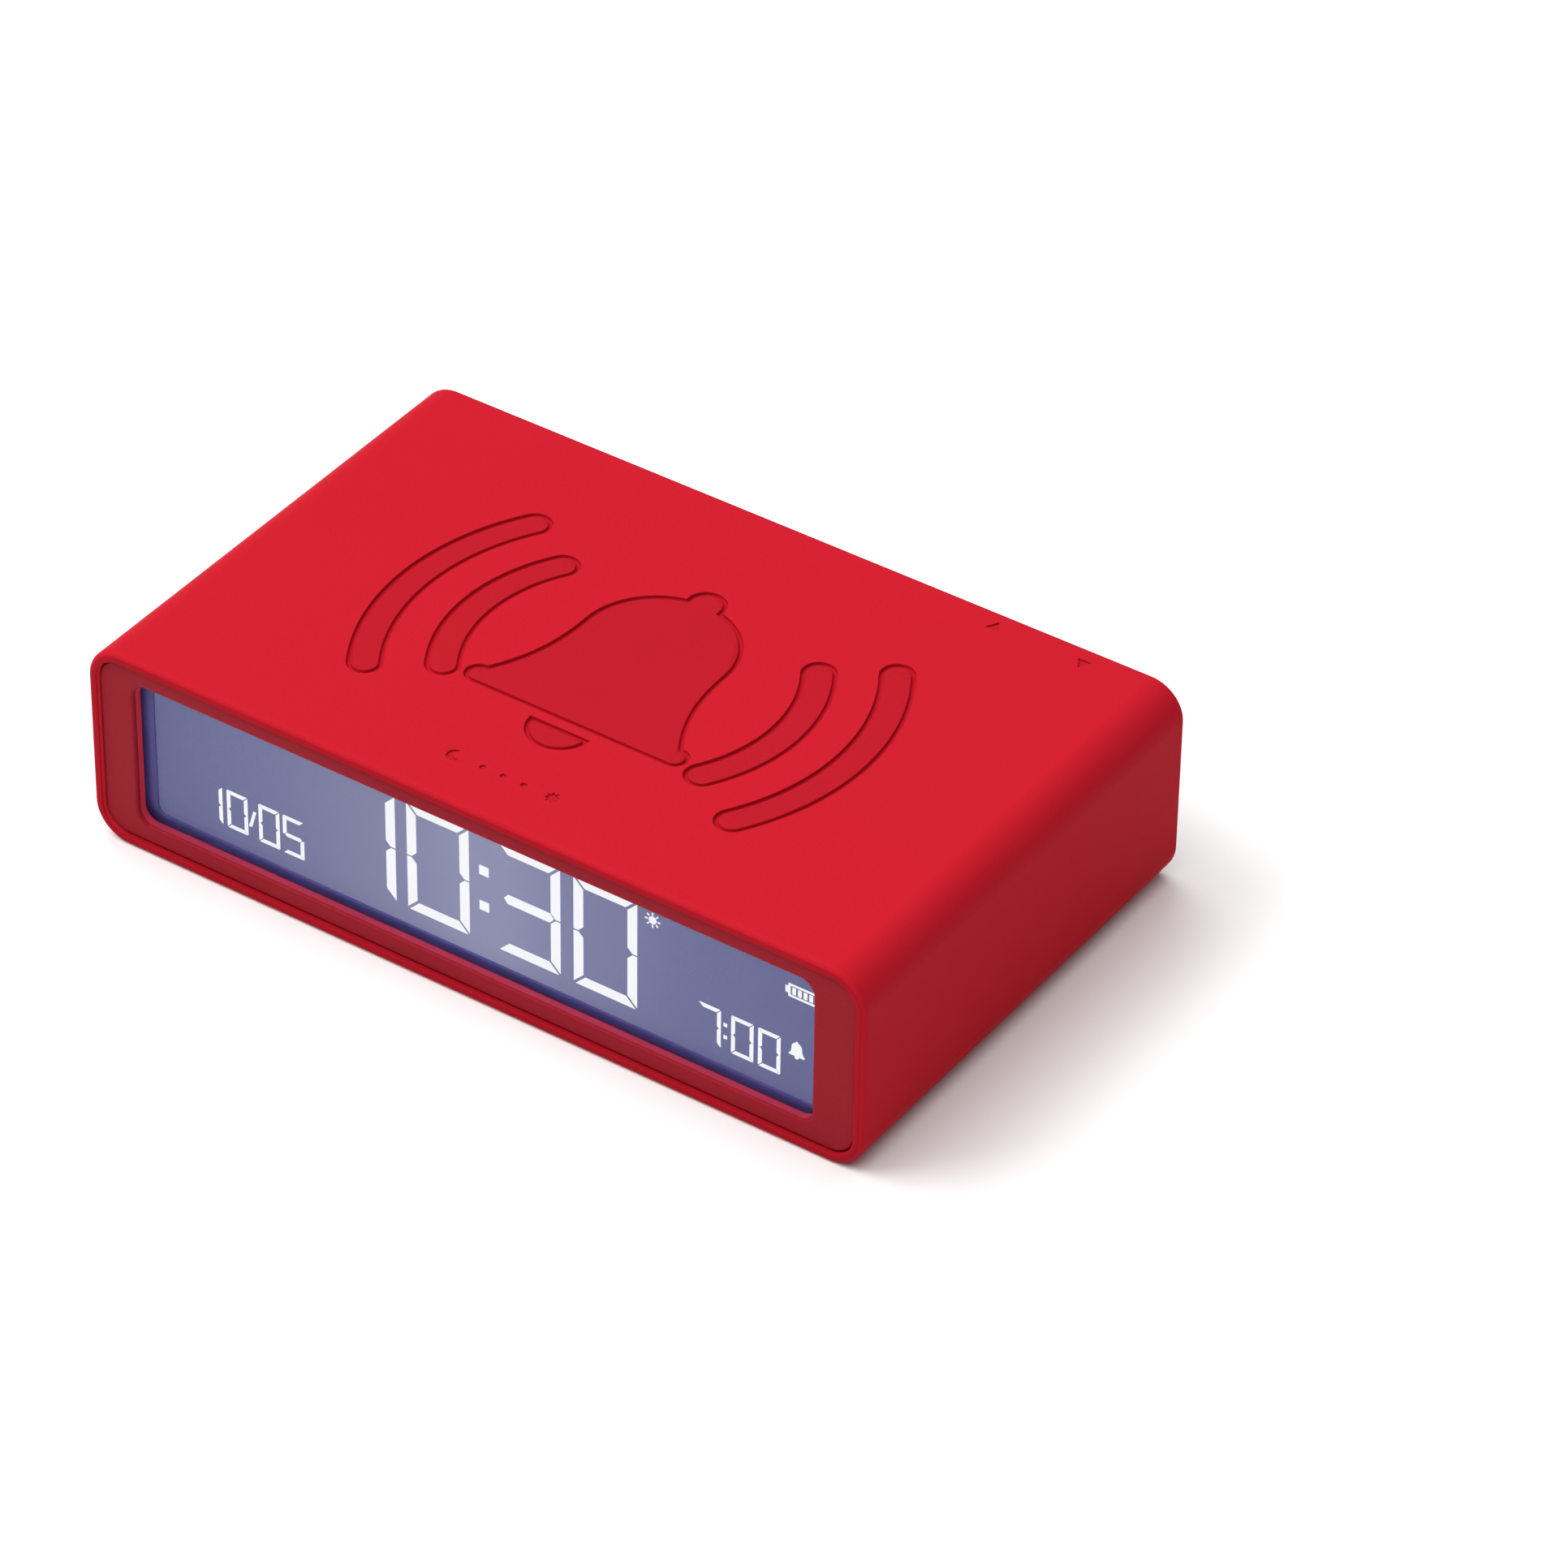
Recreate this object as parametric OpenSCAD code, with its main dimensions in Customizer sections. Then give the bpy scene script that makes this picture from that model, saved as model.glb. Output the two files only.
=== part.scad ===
// Flip-over travel alarm clock: a rubber-coated sleeve with a display in front and keys behind.
// Frame: origin at the centre of the underside, +Z up, the display faces -Y, width along X.

/* [Case] */
// Width of the case
case_w = 83; // [81:0.5:90]
// Depth of the case, front to back
case_d = 50.6; // [50:0.2:60]
// Height of the case
case_h = 21.1; // [21:0.1:24]
// Radius of the four long corners
corner_r = 3.6; // [3:0.1:4.5]
// Radius of the sleeve's front and back edges
edge_r = 0.6; // [0.3:0.1:0.8]
// Wall of the sleeve
wall_t = 1.7; // [1.6:0.05:1.8]
// Wall of the sleeve's lips around the front and back panels
lip_t = 1.0; // [0.8:0.05:1.1]

/* [Window] */
// Width of the display window
window_w = 72; // [68:0.5:72]
// Height of the display window
window_h = 15.4; // [14:0.1:15.4]
// How much further the display window reaches to the left than to the right
window_extra = 0.7; // [0:0.1:0.8]
// Corner radius of the display window
window_r = 1.5; // [0.8:0.1:2]
// How far the front and back panels sit inside the sleeve's ends
panel_inset = 0.4; // [0.3:0.05:0.6]

/* [Figures] */
// Height of the big time figures
big_h = 11.8; // [10:0.1:12]
// Height of the small figures
small_h = 4.15; // [3.5:0.05:4.5]

/* [Emblem] */
// Height of the outlined bell
bell_h = 27.6; // [24:0.2:29]
// Depth of the groove around the bell, and twice the depth of the small signs
emblem_depth = 0.35; // [0.2:0.05:0.5]
// Width of the groove around the bell
groove_w = 0.45; // [0.3:0.05:0.6]

/* [Keys] */
// Diameter of a key
key_d = 5.6; // [5:0.1:6]
// Travel of a key
key_travel = 0.35; // [0.2:0.05:0.4]
// Distance from the middle to the first key on each side
key_x = 22.7; // [22:0.1:23]
// Distance between two neighbouring keys
key_pitch = 9.3; // [9:0.1:9.5]

/* [Hidden] */

$fn = 32;
red = [0.84, 0.12, 0.19];
dark_red = [0.62, 0.13, 0.19];
copper = [0.78, 0.46, 0.28];
steel = [0.72, 0.73, 0.75];
green = [0.10, 0.36, 0.24];
black = [0.09, 0.09, 0.10];
white = [0.92, 0.92, 0.90];
mask_blue = [0.24, 0.23, 0.42];

mid_z = case_h / 2;
eps = 0.01;

// Cavity behind the front and back panels
cavity_w = case_w - 2 * wall_t;
cavity_h = case_h - 2 * wall_t;
cavity_r = corner_r - wall_t;
lip_w = case_w - 2 * lip_t;
lip_h = case_h - 2 * lip_t;
lip_r = corner_r - lip_t;
panel_gap = 0.1;
panel_w = lip_w - 2 * panel_gap;
panel_h = lip_h - 2 * panel_gap;
panel_r = lip_r - panel_gap;

// Planes behind the front end of the sleeve
lens_s = 1.45;
lens_t = 0.8;
lens_overlap = 0.9;
lens_gap = 0.15;
gasket_s = lens_s + lens_t;
cell_s = gasket_s + 0.2;
border_x = 0.25;
border_z = 0.45;
border_r = 1;
polarizer_t = 0.1;
front_glass_t = 0.35;
liquid_s = cell_s + polarizer_t + front_glass_t;
liquid_t = 0.08;
rear_glass_s = liquid_s + liquid_t;
rear_glass_t = 0.42;
rear_film_s = rear_glass_s + rear_glass_t;
diffuser_s = rear_film_s + polarizer_t;
guide_s = diffuser_s + 0.2;
guide_t = 1.8;
reflector_s = guide_s + guide_t;
frame_floor_s = reflector_s + 0.15;
bezel_back_s = 2.9;
frame_s = bezel_back_s + 0.05;
frame_back_s = frame_floor_s + 1;
main_board_s = frame_back_s + 1.15;
board_t = 1;
main_back_s = main_board_s + board_t;

// Planes ahead of the back end of the sleeve
panel_t = 1.6;
panel_back_b = panel_inset + panel_t;
key_board_b = 7.2;
board_face_b = key_board_b + board_t;

// Display cell
cell_w = window_w + 1.2;
cell_h = window_h + 0.6;
ledge_w = 1.3;
frame_w = cavity_w - 2.1;
frame_h = cavity_h - 0.5;
pocket_w = frame_w - 1.4;
pocket_h = frame_h - 1;

// Lamps and their board at the left end of the frame, and the light guide beside them
lamp_end_x = 0.05 - pocket_w / 2;
lamp_board_t = 0.5;
lamp_reach = 0.75;
guide_left = lamp_end_x + lamp_board_t + lamp_reach + 0.05;
guide_right = pocket_w / 2 - 0.4;
guide_w = guide_right - guide_left;
guide_x = (guide_left + guide_right) / 2;

// Ribbon from the display to the main board
ribbon_t = 0.15;
ribbon_low_z = mid_z - 1.35;
ribbon_h = 4.2;
ribbon_bend_r = 0.65;
ribbon_side_x = pocket_w / 2 + 0.95;
ribbon_back_s = main_back_s + 1.45;
ribbon_socket_x = 28.5;
ribbon_socket_w = 3.5;

// Ribbon between the two boards
link_w = 10;
link_z = mid_z + 4.6;
link_socket_t = 2.5;

// Boards, frame posts and screws
main_board_w = cavity_w - 3;
main_board_h = cavity_h - 0.9;
key_board_w = 70.4;
key_board_h = cavity_h - 1.3;
post_x = 30;
post_z = 6.8;
post_d = 1.8;
post_head_d = 2.8;
post_head_t = 0.5;
screw_shank_d = 1.5;
screw_hole_d = 1.6;
screw_head_d = 2.8;
screw_head_t = 0.9;
screw_length = 4.6;
main_screw_x = 35.5;
main_screw_z = 5.8;
key_screw_x = key_x + key_pitch / 2;
key_screw_z = 6.3;
panel_screw_x = 37.6;
panel_screw_d = 2.9;
panel_screw_length = 8;

// Chassis
chassis_s = main_back_s + 2.2;
chassis_w = 78.8;
chassis_h = cavity_h - 0.4;
chassis_wall = 1.3;
floor_t = 1;
floor_z = mid_z - chassis_h / 2;
cross_wall_b = board_face_b + 1.4;
battery_stop_s = main_back_s + 4.4;
battery_stop_t = 1.2;
boss_d = 3.6;

// Battery
battery_w = 50;
battery_d = 26;
battery_h = 8;
battery_pad_t = 0.5;
battery_low_z = floor_z + floor_t + battery_pad_t;
battery_y = -10.6;
lead_d = 1;
plug_x = -32;
plug_z = mid_z - 1;
plug_s = main_back_s + 3;

// Tilt switch
tilt_x = -21;
tilt_d = 4;
tilt_bore_d = 3.2;
tilt_ball_d = 3;
tilt_base_z = 7.3;
tilt_base_h = 1.2;
tilt_can_top = 13.8;
tilt_y = -case_d / 2 + main_back_s + 2.1;

// Touch foils against the inside of the sleeve's top and bottom walls
foil_w = 60;
foil_d = 24;
foil_t = 0.1;
foil_s = main_back_s + 0.8;

// Keys and switches, in planes ahead of the back end
key_face_b = 0.05;
key_hole_d = key_d + 0.4;
key_flange_d = 7.4;
key_flange_b = panel_back_b + 0.05;
key_flange_t = 0.6;
key_stem_d = 2.2;
plunger_top_b = 3.5;
plunger_bottom_b = 5;
plunger_d = 2.3;
switch_w = 4.5;
switch_face_b = 4.4;
switch_cover_t = 0.3;

// Charging port
usb_w = 8.94;
usb_h = 3.16;
usb_wall = 0.3;
usb_mouth_b = 0.7;
usb_base_b = 5.6;
usb_tongue_w = 6.7;
usb_tongue_t = 0.7;
usb_tongue_b = 1.5;

// Sounder and charge light
sounder_x = -11.4;
sounder_d = 13;
sounder_b = panel_back_b + 0.05;
light_x = 11.4;
pipe_d = 2;

// y of a plane that lies s behind the front end of the sleeve
function front(s) = -case_d / 2 + s;
// y of a plane that lies b ahead of the back end of the sleeve
function rear(b) = case_d / 2 - b;

// ---------------------------------------------------------------- shapes that repeat

// Block given by its middle in X and Z and by its two planes in Y
module block(w, h, y0, y1, x = 0, z = mid_z) {
    translate([x - w / 2, y0, z - h / 2]) cube([w, y1 - y0, h]);
}

// Flat shape drawn in X and Z about the middle of the case, standing between two planes in Y
module standing(y0, y1) {
    translate([0, y1, mid_z]) rotate([90, 0, 0]) linear_extrude(y1 - y0) children();
}

module round_rect(w, h, r) {
    offset(r) square([w - 2 * r, h - 2 * r], center = true);
}

module rounded_plate(w, h, r, y0, y1) {
    standing(y0, y1) round_rect(w, h, r);
}

// Rod or hole along Y
module rod(d, y0, y1, x = 0, z = mid_z) {
    translate([x, y0, z]) rotate([-90, 0, 0]) cylinder(d = d, h = y1 - y0);
}

// Slot-shaped tube section, centred
module pill(w, h) {
    square([w - h, h], center = true);
    for (side = [-1, 1]) translate([side * (w - h) / 2, 0]) circle(d = h);
}

// Places children at the four corners of a rectangle in X and Z
module at_corners(x, z) {
    for (sx = [-1, 1], sz = [-1, 1]) translate([sx * x, 0, sz * z]) children();
}

// Quarter bend of a flat strip of thickness t, about the origin
module quarter_ring(r, t) {
    intersection() {
        difference() {
            circle(r = r + t / 2);
            circle(r = r - t / 2);
        }
        square(r + t);
    }
}

// Round lead swept along points by straight stretches, closed at both ends
module lead(points, d) {
    sides = 8;
    last = len(points) - 1;
    directions = [for (i = [0:last]) points[min(i + 1, last)] - points[max(i - 1, 0)]];
    rings = [for (i = [0:last])
        let (along = directions[i] / norm(directions[i]),
             side = cross(along, [0, 0, 1]) / norm(cross(along, [0, 0, 1])),
             up = cross(side, along))
        for (k = [0:sides - 1])
            points[i] + d / 2 * (side * cos(360 * k / sides) + up * sin(360 * k / sides))];
    walls = [for (i = [0:last - 1], k = [0:sides - 1])
        let (a = i * sides + k, b = i * sides + (k + 1) % sides) [a, b, b + sides, a + sides]];
    start = [for (k = [sides - 1:-1:0]) k];
    finish = [for (k = [0:sides - 1]) last * sides + k];
    polyhedron(rings, concat([start], walls, [finish]));
}

// Smooth curve through a start and an end, leaving and arriving in given directions
function curve(a, da, b, db, steps = 14) = [for (i = [0:steps])
    let (t = i / steps, u = 1 - t)
    u * u * u * a + 3 * u * u * t * (a + da) + 3 * u * t * t * (b - db) + t * t * t * b];

// ---------------------------------------------------------------- signs in the shell

// Half of the bell's width at height v, where 0 is the rim and 1 the crown
function bell_half(v) = v > 0.62
    ? 0.285 * sqrt(max(0, 1 - pow((v - 0.62) / 0.38, 2)))
    : 0.285 + 0.14 * pow((0.62 - v) / 0.62, 2.4);

// Joins shapes into one outline, a hair larger, so that nothing in it is merely tangent
module one_outline() {
    offset(delta = eps) children();
}

// Groove of the given width along the inside of a flat shape's edge
module edge_groove(width) {
    difference() {
        children();
        offset(delta = -width) children();
    }
}

// Bell of height h, standing on its clapper, centred on the origin
module bell(h) {
    body_h = 0.72 * h;
    rim_y = -0.30 * h;
    steps = 24;
    half = [for (i = [0:steps]) [bell_half(i / steps) * body_h * 1.35, rim_y + body_h * i / steps]];
    polygon(concat(half, [for (i = [steps - 1:-1:0]) [-half[i][0], half[i][1]]]));
    translate([0, rim_y]) round_rect(0.86 * h, 0.10 * h, 0.049 * h);
    translate([0, rim_y + body_h]) circle(0.07 * h);
    translate([0, rim_y - 0.085 * h]) intersection() {
        circle(0.115 * h);
        translate([0, -0.115 * h]) square(0.23 * h, center = true);
    }
}

// Two sound waves on each side of the bell
module sound_waves(h) {
    stroke = 0.12 * h;
    half_angle = 33;
    for (side = [0, 180], r = [0.60 * h, 0.85 * h]) rotate(side) {
        intersection() {
            difference() {
                circle(r + stroke / 2, $fn = 72);
                circle(r - stroke / 2, $fn = 72);
            }
            polygon([[0, 0], [2 * r, 2 * r * tan(half_angle)], [2 * r, -2 * r * tan(half_angle)]]);
        }
        for (end = [-1, 1]) rotate(end * half_angle) translate([r, 0]) circle(d = stroke, $fn = 24);
    }
}

module alarm_on_sign(h) {
    one_outline() {
        bell(h);
        sound_waves(h);
    }
}

module alarm_off_sign(h) {
    bar = 0.11 * h;
    one_outline() {
        difference() {
            bell(h);
            rotate(-45) square([1.2 * h, 2.4 * bar], center = true);
        }
        rotate(-45) square([1.05 * h, bar], center = true);
    }
}

// Moon, three dots and a small sun: touch to snooze or to light the display
module touch_sign() {
    sign_r = 0.75;
    one_outline() {
        translate([-5.2, 0]) difference() {
            circle(sign_r, $fn = 20);
            translate([0.45, 0.2]) circle(0.62, $fn = 20);
        }
        for (x = [-2.2, 0, 2.2]) translate([x, 0]) circle(0.3, $fn = 14);
        translate([5.2, 0]) sun(sign_r);
    }
}

module sun(r) {
    circle(0.5 * r, $fn = 16);
    for (turn = [0:45:315]) rotate(turn) translate([0.82 * r, 0]) square([0.36 * r, 0.16 * r], center = true);
}

// Small arrowheads over the keys: up and down
module key_sign(x, turn) {
    translate([x, 23.1]) rotate(turn) circle(0.8, $fn = 3);
}

// ---------------------------------------------------------------- display figures

// Segments lit for each figure: top, upper right, lower right, bottom, lower left, upper left, middle
LIT = [
    [1, 1, 1, 1, 1, 1, 0], [0, 1, 1, 0, 0, 0, 0], [1, 1, 0, 1, 1, 0, 1], [1, 1, 1, 1, 0, 0, 1],
    [0, 1, 1, 0, 0, 1, 1], [1, 0, 1, 1, 0, 1, 1], [1, 0, 1, 1, 1, 1, 1], [1, 1, 1, 0, 0, 0, 0],
    [1, 1, 1, 1, 1, 1, 1], [1, 1, 1, 1, 0, 1, 1]];

module end_segment(w, h, t, gap) {
    polygon([[gap - w / 2, h / 2], [w / 2 - gap, h / 2], [w / 2 - t - gap, h / 2 - t],
        [t + gap - w / 2, h / 2 - t]]);
}

module side_segment(w, h, t, gap) {
    polygon([[w / 2, h / 2 - gap], [w / 2, gap / 2], [w / 2 - t / 2, gap / 2],
        [w / 2 - t, t / 2 + gap / 2], [w / 2 - t, h / 2 - t - gap]]);
}

module middle_segment(w, t, gap) {
    inner = w / 2 - t - gap / 2;
    tip = w / 2 - t / 2 - gap;
    polygon([[-tip, 0], [-inner, t / 2], [inner, t / 2], [tip, 0], [inner, -t / 2], [-inner, -t / 2]]);
}

// One figure of seven segments, centred
module figure(value, w, h, t, gap) {
    lit = LIT[value];
    if (lit[0]) end_segment(w, h, t, gap);
    if (lit[1]) side_segment(w, h, t, gap);
    if (lit[2]) mirror([0, 1]) side_segment(w, h, t, gap);
    if (lit[3]) mirror([0, 1]) end_segment(w, h, t, gap);
    if (lit[4]) rotate(180) side_segment(w, h, t, gap);
    if (lit[5]) mirror([1, 0]) side_segment(w, h, t, gap);
    if (lit[6]) middle_segment(w, t, gap);
}

module big_figure(value, x) {
    translate([x, 0]) figure(value, 6.7, big_h, 1, 0.2);
}

module small_figure(value, x, z) {
    translate([x, z]) figure(value, 2.3, small_h, 0.38, 0.07);
}

module dot(x, z, d) {
    translate([x, z]) square(d, center = true);
}

// Time, half past ten
module time_figures() {
    big_figure(1, -13.02);
    big_figure(0, -5.02);
    for (z = [-1.95, 1.95]) dot(-0.05, z, 1);
    big_figure(3, 4.75);
    big_figure(0, 12.88);
    translate([17.85, 4.75]) sun(0.8);
}

// Date, low on the left
module date_figures() {
    z = -3.8;
    small_figure(1, -30.05, z);
    small_figure(0, -27.22, z);
    translate([-25.52, z]) polygon([[-0.42, -0.9], [-0.1, -0.9], [0.42, 0.9], [0.1, 0.9]]);
    small_figure(0, -23.67, z);
    small_figure(5, -20.97, z);
}

// Alarm time, low on the right, with a small bell beside it
module alarm_figures() {
    z = -3.9;
    small_figure(7, 23.87, z);
    for (dz = [0.7, -0.65]) dot(25.5, z + dz, 0.35);
    small_figure(0, 27.27, z);
    small_figure(0, 30.07, z);
    translate([32.9, -2.5]) bell(1.9);
}

// Battery mark, high on the right: outline, contact and four bars
module battery_mark() {
    translate([33.4, 3.8]) {
        difference() {
            square([2.9, 1.4], center = true);
            square([2.5, 1], center = true);
        }
        translate([-1.6, 0]) square([0.3, 0.7], center = true);
        for (i = [0:3]) translate([-0.87 + 0.58 * i, 0]) square([0.36, 0.7], center = true);
    }
}

// ---------------------------------------------------------------- shell

// Sleeve body with rounded front and back edges
module sleeve_block() {
    hull() for (angle = [0:30:90]) {
        inset = edge_r * (1 - cos(angle));
        reach = case_d / 2 - edge_r + edge_r * sin(angle);
        rounded_plate(case_w - 2 * inset, case_h - 2 * inset, corner_r - inset, -reach, reach);
    }
}

module case_sleeve() {
    hook_z = 5.2;
    color(red) difference() {
        sleeve_block();
        rounded_plate(cavity_w, cavity_h, cavity_r, front(-1), rear(-1));
        rounded_plate(lip_w, lip_h, lip_r, front(-1), front(bezel_back_s));
        rounded_plate(lip_w, lip_h, lip_r, rear(panel_back_b), rear(-1));
        translate([0, -0.6, case_h - emblem_depth])
            linear_extrude(1) edge_groove(groove_w) alarm_on_sign(bell_h);
        translate([0, -19.65, case_h - emblem_depth / 2]) linear_extrude(1) touch_sign();
        translate([0, 0, case_h - emblem_depth / 2]) linear_extrude(1) key_signs();
        rotate([0, 180, 0]) {
            translate([0, -0.6, -emblem_depth])
                linear_extrude(1) edge_groove(groove_w) alarm_off_sign(bell_h);
            translate([0, -19.65, -emblem_depth / 2]) linear_extrude(1) touch_sign();
            translate([0, 0, -emblem_depth / 2]) linear_extrude(1) key_signs();
        }
        for (side = [-1, 1], z = [-hook_z, hook_z])
            block(1.2, 3.2, front(5), front(7.1), side * (cavity_w / 2 - 0.15), mid_z + z);
    }
}

module key_signs() {
    key_sign(key_x, 90);
    key_sign(key_x + key_pitch, -90);
}

// Plate with the outline of the display window, grown on every side
module window_plate(growth, y0, y1) {
    translate([-window_extra / 2, 0, 0])
        rounded_plate(window_w + window_extra + 2 * growth, window_h + 2 * growth, window_r, y0, y1);
}

module front_bezel() {
    hook_x = cavity_w / 2 - 0.2;
    color(dark_red) {
        difference() {
            hull() {
                rounded_plate(panel_w - 0.5, panel_h - 0.5, panel_r - 0.25, front(panel_inset), front(1));
                rounded_plate(panel_w, panel_h, panel_r, front(panel_inset + 0.25), front(bezel_back_s));
            }
            window_plate(0, front(0), front(3));
            window_plate(lens_overlap + lens_gap, front(lens_s), front(3));
            block(2.4, ribbon_h + 0.8, front(2.45), front(3),
                ribbon_side_x - 0.8, ribbon_low_z + ribbon_h / 2);
        }
        for (side = [-1, 1], z = [-5.2, 5.2]) scale([side, 1, 1])
            translate([0, 0, mid_z + z - 1.4]) linear_extrude(2.8)
                polygon([[hook_x - 0.65, front(2.5)], [hook_x, front(2.5)], [hook_x, front(5.2)],
                    [hook_x + 0.4, front(5.2)], [hook_x, front(6.8)], [hook_x - 0.65, front(6.8)]]);
    }
}

module display_lens() {
    color([0.7, 0.8, 0.9, 0.35]) window_plate(lens_overlap, front(lens_s), front(lens_s + lens_t));
}

// Flat ring that follows the display window
module window_ring(outer_w, outer_h, inner_w, inner_h, y0, y1) {
    difference() {
        block(outer_w, outer_h, y0, y1);
        block(inner_w, inner_h, y0 - 1, y1 + 1);
    }
}

// Thin blue gasket whose inner edge shows as a narrow border around the display
module lens_gasket() {
    color(mask_blue) difference() {
        block(window_w + window_extra + 1.2, window_h + 1, front(gasket_s), front(cell_s), -window_extra / 2);
        rounded_plate(window_w - 2 * border_x, window_h - 2 * border_z, border_r,
            front(gasket_s - 1), front(cell_s + 1));
    }
}

module display_sheet(s, t, w = cell_w - 0.4, h = cell_h - 0.1) {
    block(w, h, front(s), front(s + t));
}

module front_polarizer() {
    color([0.4, 0.45, 0.75, 0.5]) display_sheet(cell_s, polarizer_t);
}

module front_glass() {
    color([0.5, 0.55, 0.8, 0.5]) display_sheet(cell_s + polarizer_t, front_glass_t, cell_w, cell_h);
}

module display_segments() {
    color(white) standing(front(liquid_s), front(liquid_s + 0.06)) {
        time_figures();
        date_figures();
        alarm_figures();
        battery_mark();
    }
}

module cell_seal() {
    color([0.8, 0.8, 0.7]) window_ring(cell_w, cell_h, cell_w - 0.8, cell_h - 0.5,
        front(liquid_s), front(rear_glass_s));
}

module rear_glass() {
    color([0.4, 0.45, 0.75]) translate([-cell_w / 2, front(rear_glass_s), mid_z - cell_h / 2])
        cube([cell_w + ledge_w, rear_glass_t, cell_h]);
}

module rear_polarizer() {
    color([0.3, 0.32, 0.6]) display_sheet(rear_film_s, polarizer_t);
}

module diffuser_film() {
    color(white) display_sheet(diffuser_s, guide_s - diffuser_s);
}

module light_guide() {
    color([0.85, 0.9, 0.95]) block(guide_w, cell_h - 0.2, front(guide_s), front(reflector_s), guide_x);
}

module reflector_film() {
    color(white) block(guide_w, cell_h - 0.2, front(reflector_s), front(frame_floor_s), guide_x);
}

module backlight_board() {
    color(green) block(lamp_board_t, 14, front(guide_s), front(reflector_s), lamp_end_x + lamp_board_t / 2);
}

module backlight_leds() {
    lamp_x = lamp_end_x + lamp_board_t + lamp_reach / 2;
    color(white) for (z = [-4.5, 0, 4.5])
        block(lamp_reach, 2.8, front(guide_s + 0.2), front(reflector_s - 0.2), lamp_x, mid_z + z);
}

module display_frame() {
    color(white) {
        difference() {
            block(frame_w, frame_h, front(frame_s), front(frame_back_s));
            block(pocket_w, pocket_h, front(frame_s - 1), front(frame_floor_s));
            block(4, ribbon_h + 0.6, front(frame_s - 1), front(frame_s + 0.9), frame_w / 2,
                ribbon_low_z + ribbon_h / 2);
        }
        at_corners(post_x, post_z) {
            rod(post_d, front(frame_back_s - 0.5), front(main_back_s + post_head_t));
            rod(post_head_d, front(main_back_s), front(main_back_s + post_head_t));
        }
    }
}

// ---------------------------------------------------------------- main board

module display_ribbon() {
    start_s = rear_glass_s - ribbon_t / 2;
    bend_x = ribbon_side_x - ribbon_bend_r;
    color([0.85, 0.55, 0.2]) translate([0, 0, ribbon_low_z]) linear_extrude(ribbon_h) {
        translate([cell_w / 2 + 0.05, front(rear_glass_s - ribbon_t)])
            square([bend_x - cell_w / 2 - 0.05, ribbon_t]);
        translate([bend_x, front(start_s + ribbon_bend_r)]) rotate(-90) quarter_ring(ribbon_bend_r, ribbon_t);
        translate([ribbon_side_x - ribbon_t / 2, front(start_s + ribbon_bend_r)])
            square([ribbon_t, ribbon_back_s - start_s - 2 * ribbon_bend_r]);
        translate([bend_x, front(ribbon_back_s - ribbon_bend_r)]) quarter_ring(ribbon_bend_r, ribbon_t);
        translate([ribbon_socket_x + 2, front(ribbon_back_s - ribbon_t / 2)])
            square([bend_x - ribbon_socket_x - 2, ribbon_t]);
    }
}

module ribbon_socket() {
    low_z = ribbon_low_z - 0.9;
    color([0.85, 0.82, 0.7]) difference() {
        translate([ribbon_socket_x, front(main_back_s), low_z])
            cube([ribbon_socket_w, 2, ribbon_h + 1.8]);
        translate([ribbon_socket_x + 1.9, front(ribbon_back_s - ribbon_t / 2 - 0.05), ribbon_low_z - 0.1])
            cube([ribbon_socket_w, ribbon_t + 0.1, ribbon_h + 0.2]);
    }
}

module main_board() {
    color(green) difference() {
        block(main_board_w, main_board_h, front(main_board_s), front(main_back_s));
        at_corners(post_x, post_z) rod(post_d + 0.2, front(main_board_s - 1), front(main_back_s + 1));
        at_corners(main_screw_x, main_screw_z)
            rod(screw_hole_d + 0.2, front(main_board_s - 1), front(main_back_s + 1));
    }
}

module clock_chip() {
    color(black) block(7, 7, front(main_back_s), front(main_back_s + 1.4), 11);
}

module charging_chip() {
    color(black) block(3, 3, front(main_back_s), front(main_back_s + 1.1), 18.5);
}

module quartz_crystal() {
    can_d = 2;
    color(steel) translate([-15.5, front(main_back_s + can_d / 2), mid_z + 4.5])
        rotate([0, 90, 0]) cylinder(d = can_d, h = 6);
}

module small_chips() {
    color([0.7, 0.6, 0.45]) {
        for (i = [0:4]) block(0.8, 1.6, front(main_back_s), front(main_back_s + 0.8), 2 + 2 * i, mid_z - 5.6);
        for (i = [0:2]) block(0.8, 1.6, front(main_back_s), front(main_back_s + 0.8), 15 + 2 * i, mid_z + 4);
    }
}

module tilt_base() {
    color(black) translate([tilt_x, tilt_y, tilt_base_z]) cylinder(d = tilt_d, h = tilt_base_h);
}

module tilt_can() {
    can_z = tilt_base_z + tilt_base_h;
    color(steel) translate([tilt_x, tilt_y, can_z]) difference() {
        cylinder(d = tilt_d, h = tilt_can_top - can_z);
        translate([0, 0, -1]) cylinder(d = tilt_bore_d, h = tilt_can_top - can_z + 0.5);
    }
}

module tilt_ball() {
    color(steel) translate([tilt_x, tilt_y, tilt_base_z + tilt_base_h + tilt_ball_d / 2 + 0.02])
        sphere(d = tilt_ball_d);
}

// ---------------------------------------------------------------- touch sensor

module touch_foil(low_z) {
    color(copper) translate([-foil_w / 2, front(foil_s), low_z]) cube([foil_w, foil_d, foil_t]);
}

module touch_foil_top() {
    touch_foil(mid_z + cavity_h / 2 - foil_t);
}

module touch_foil_bottom() {
    touch_foil(mid_z - cavity_h / 2);
}

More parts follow.
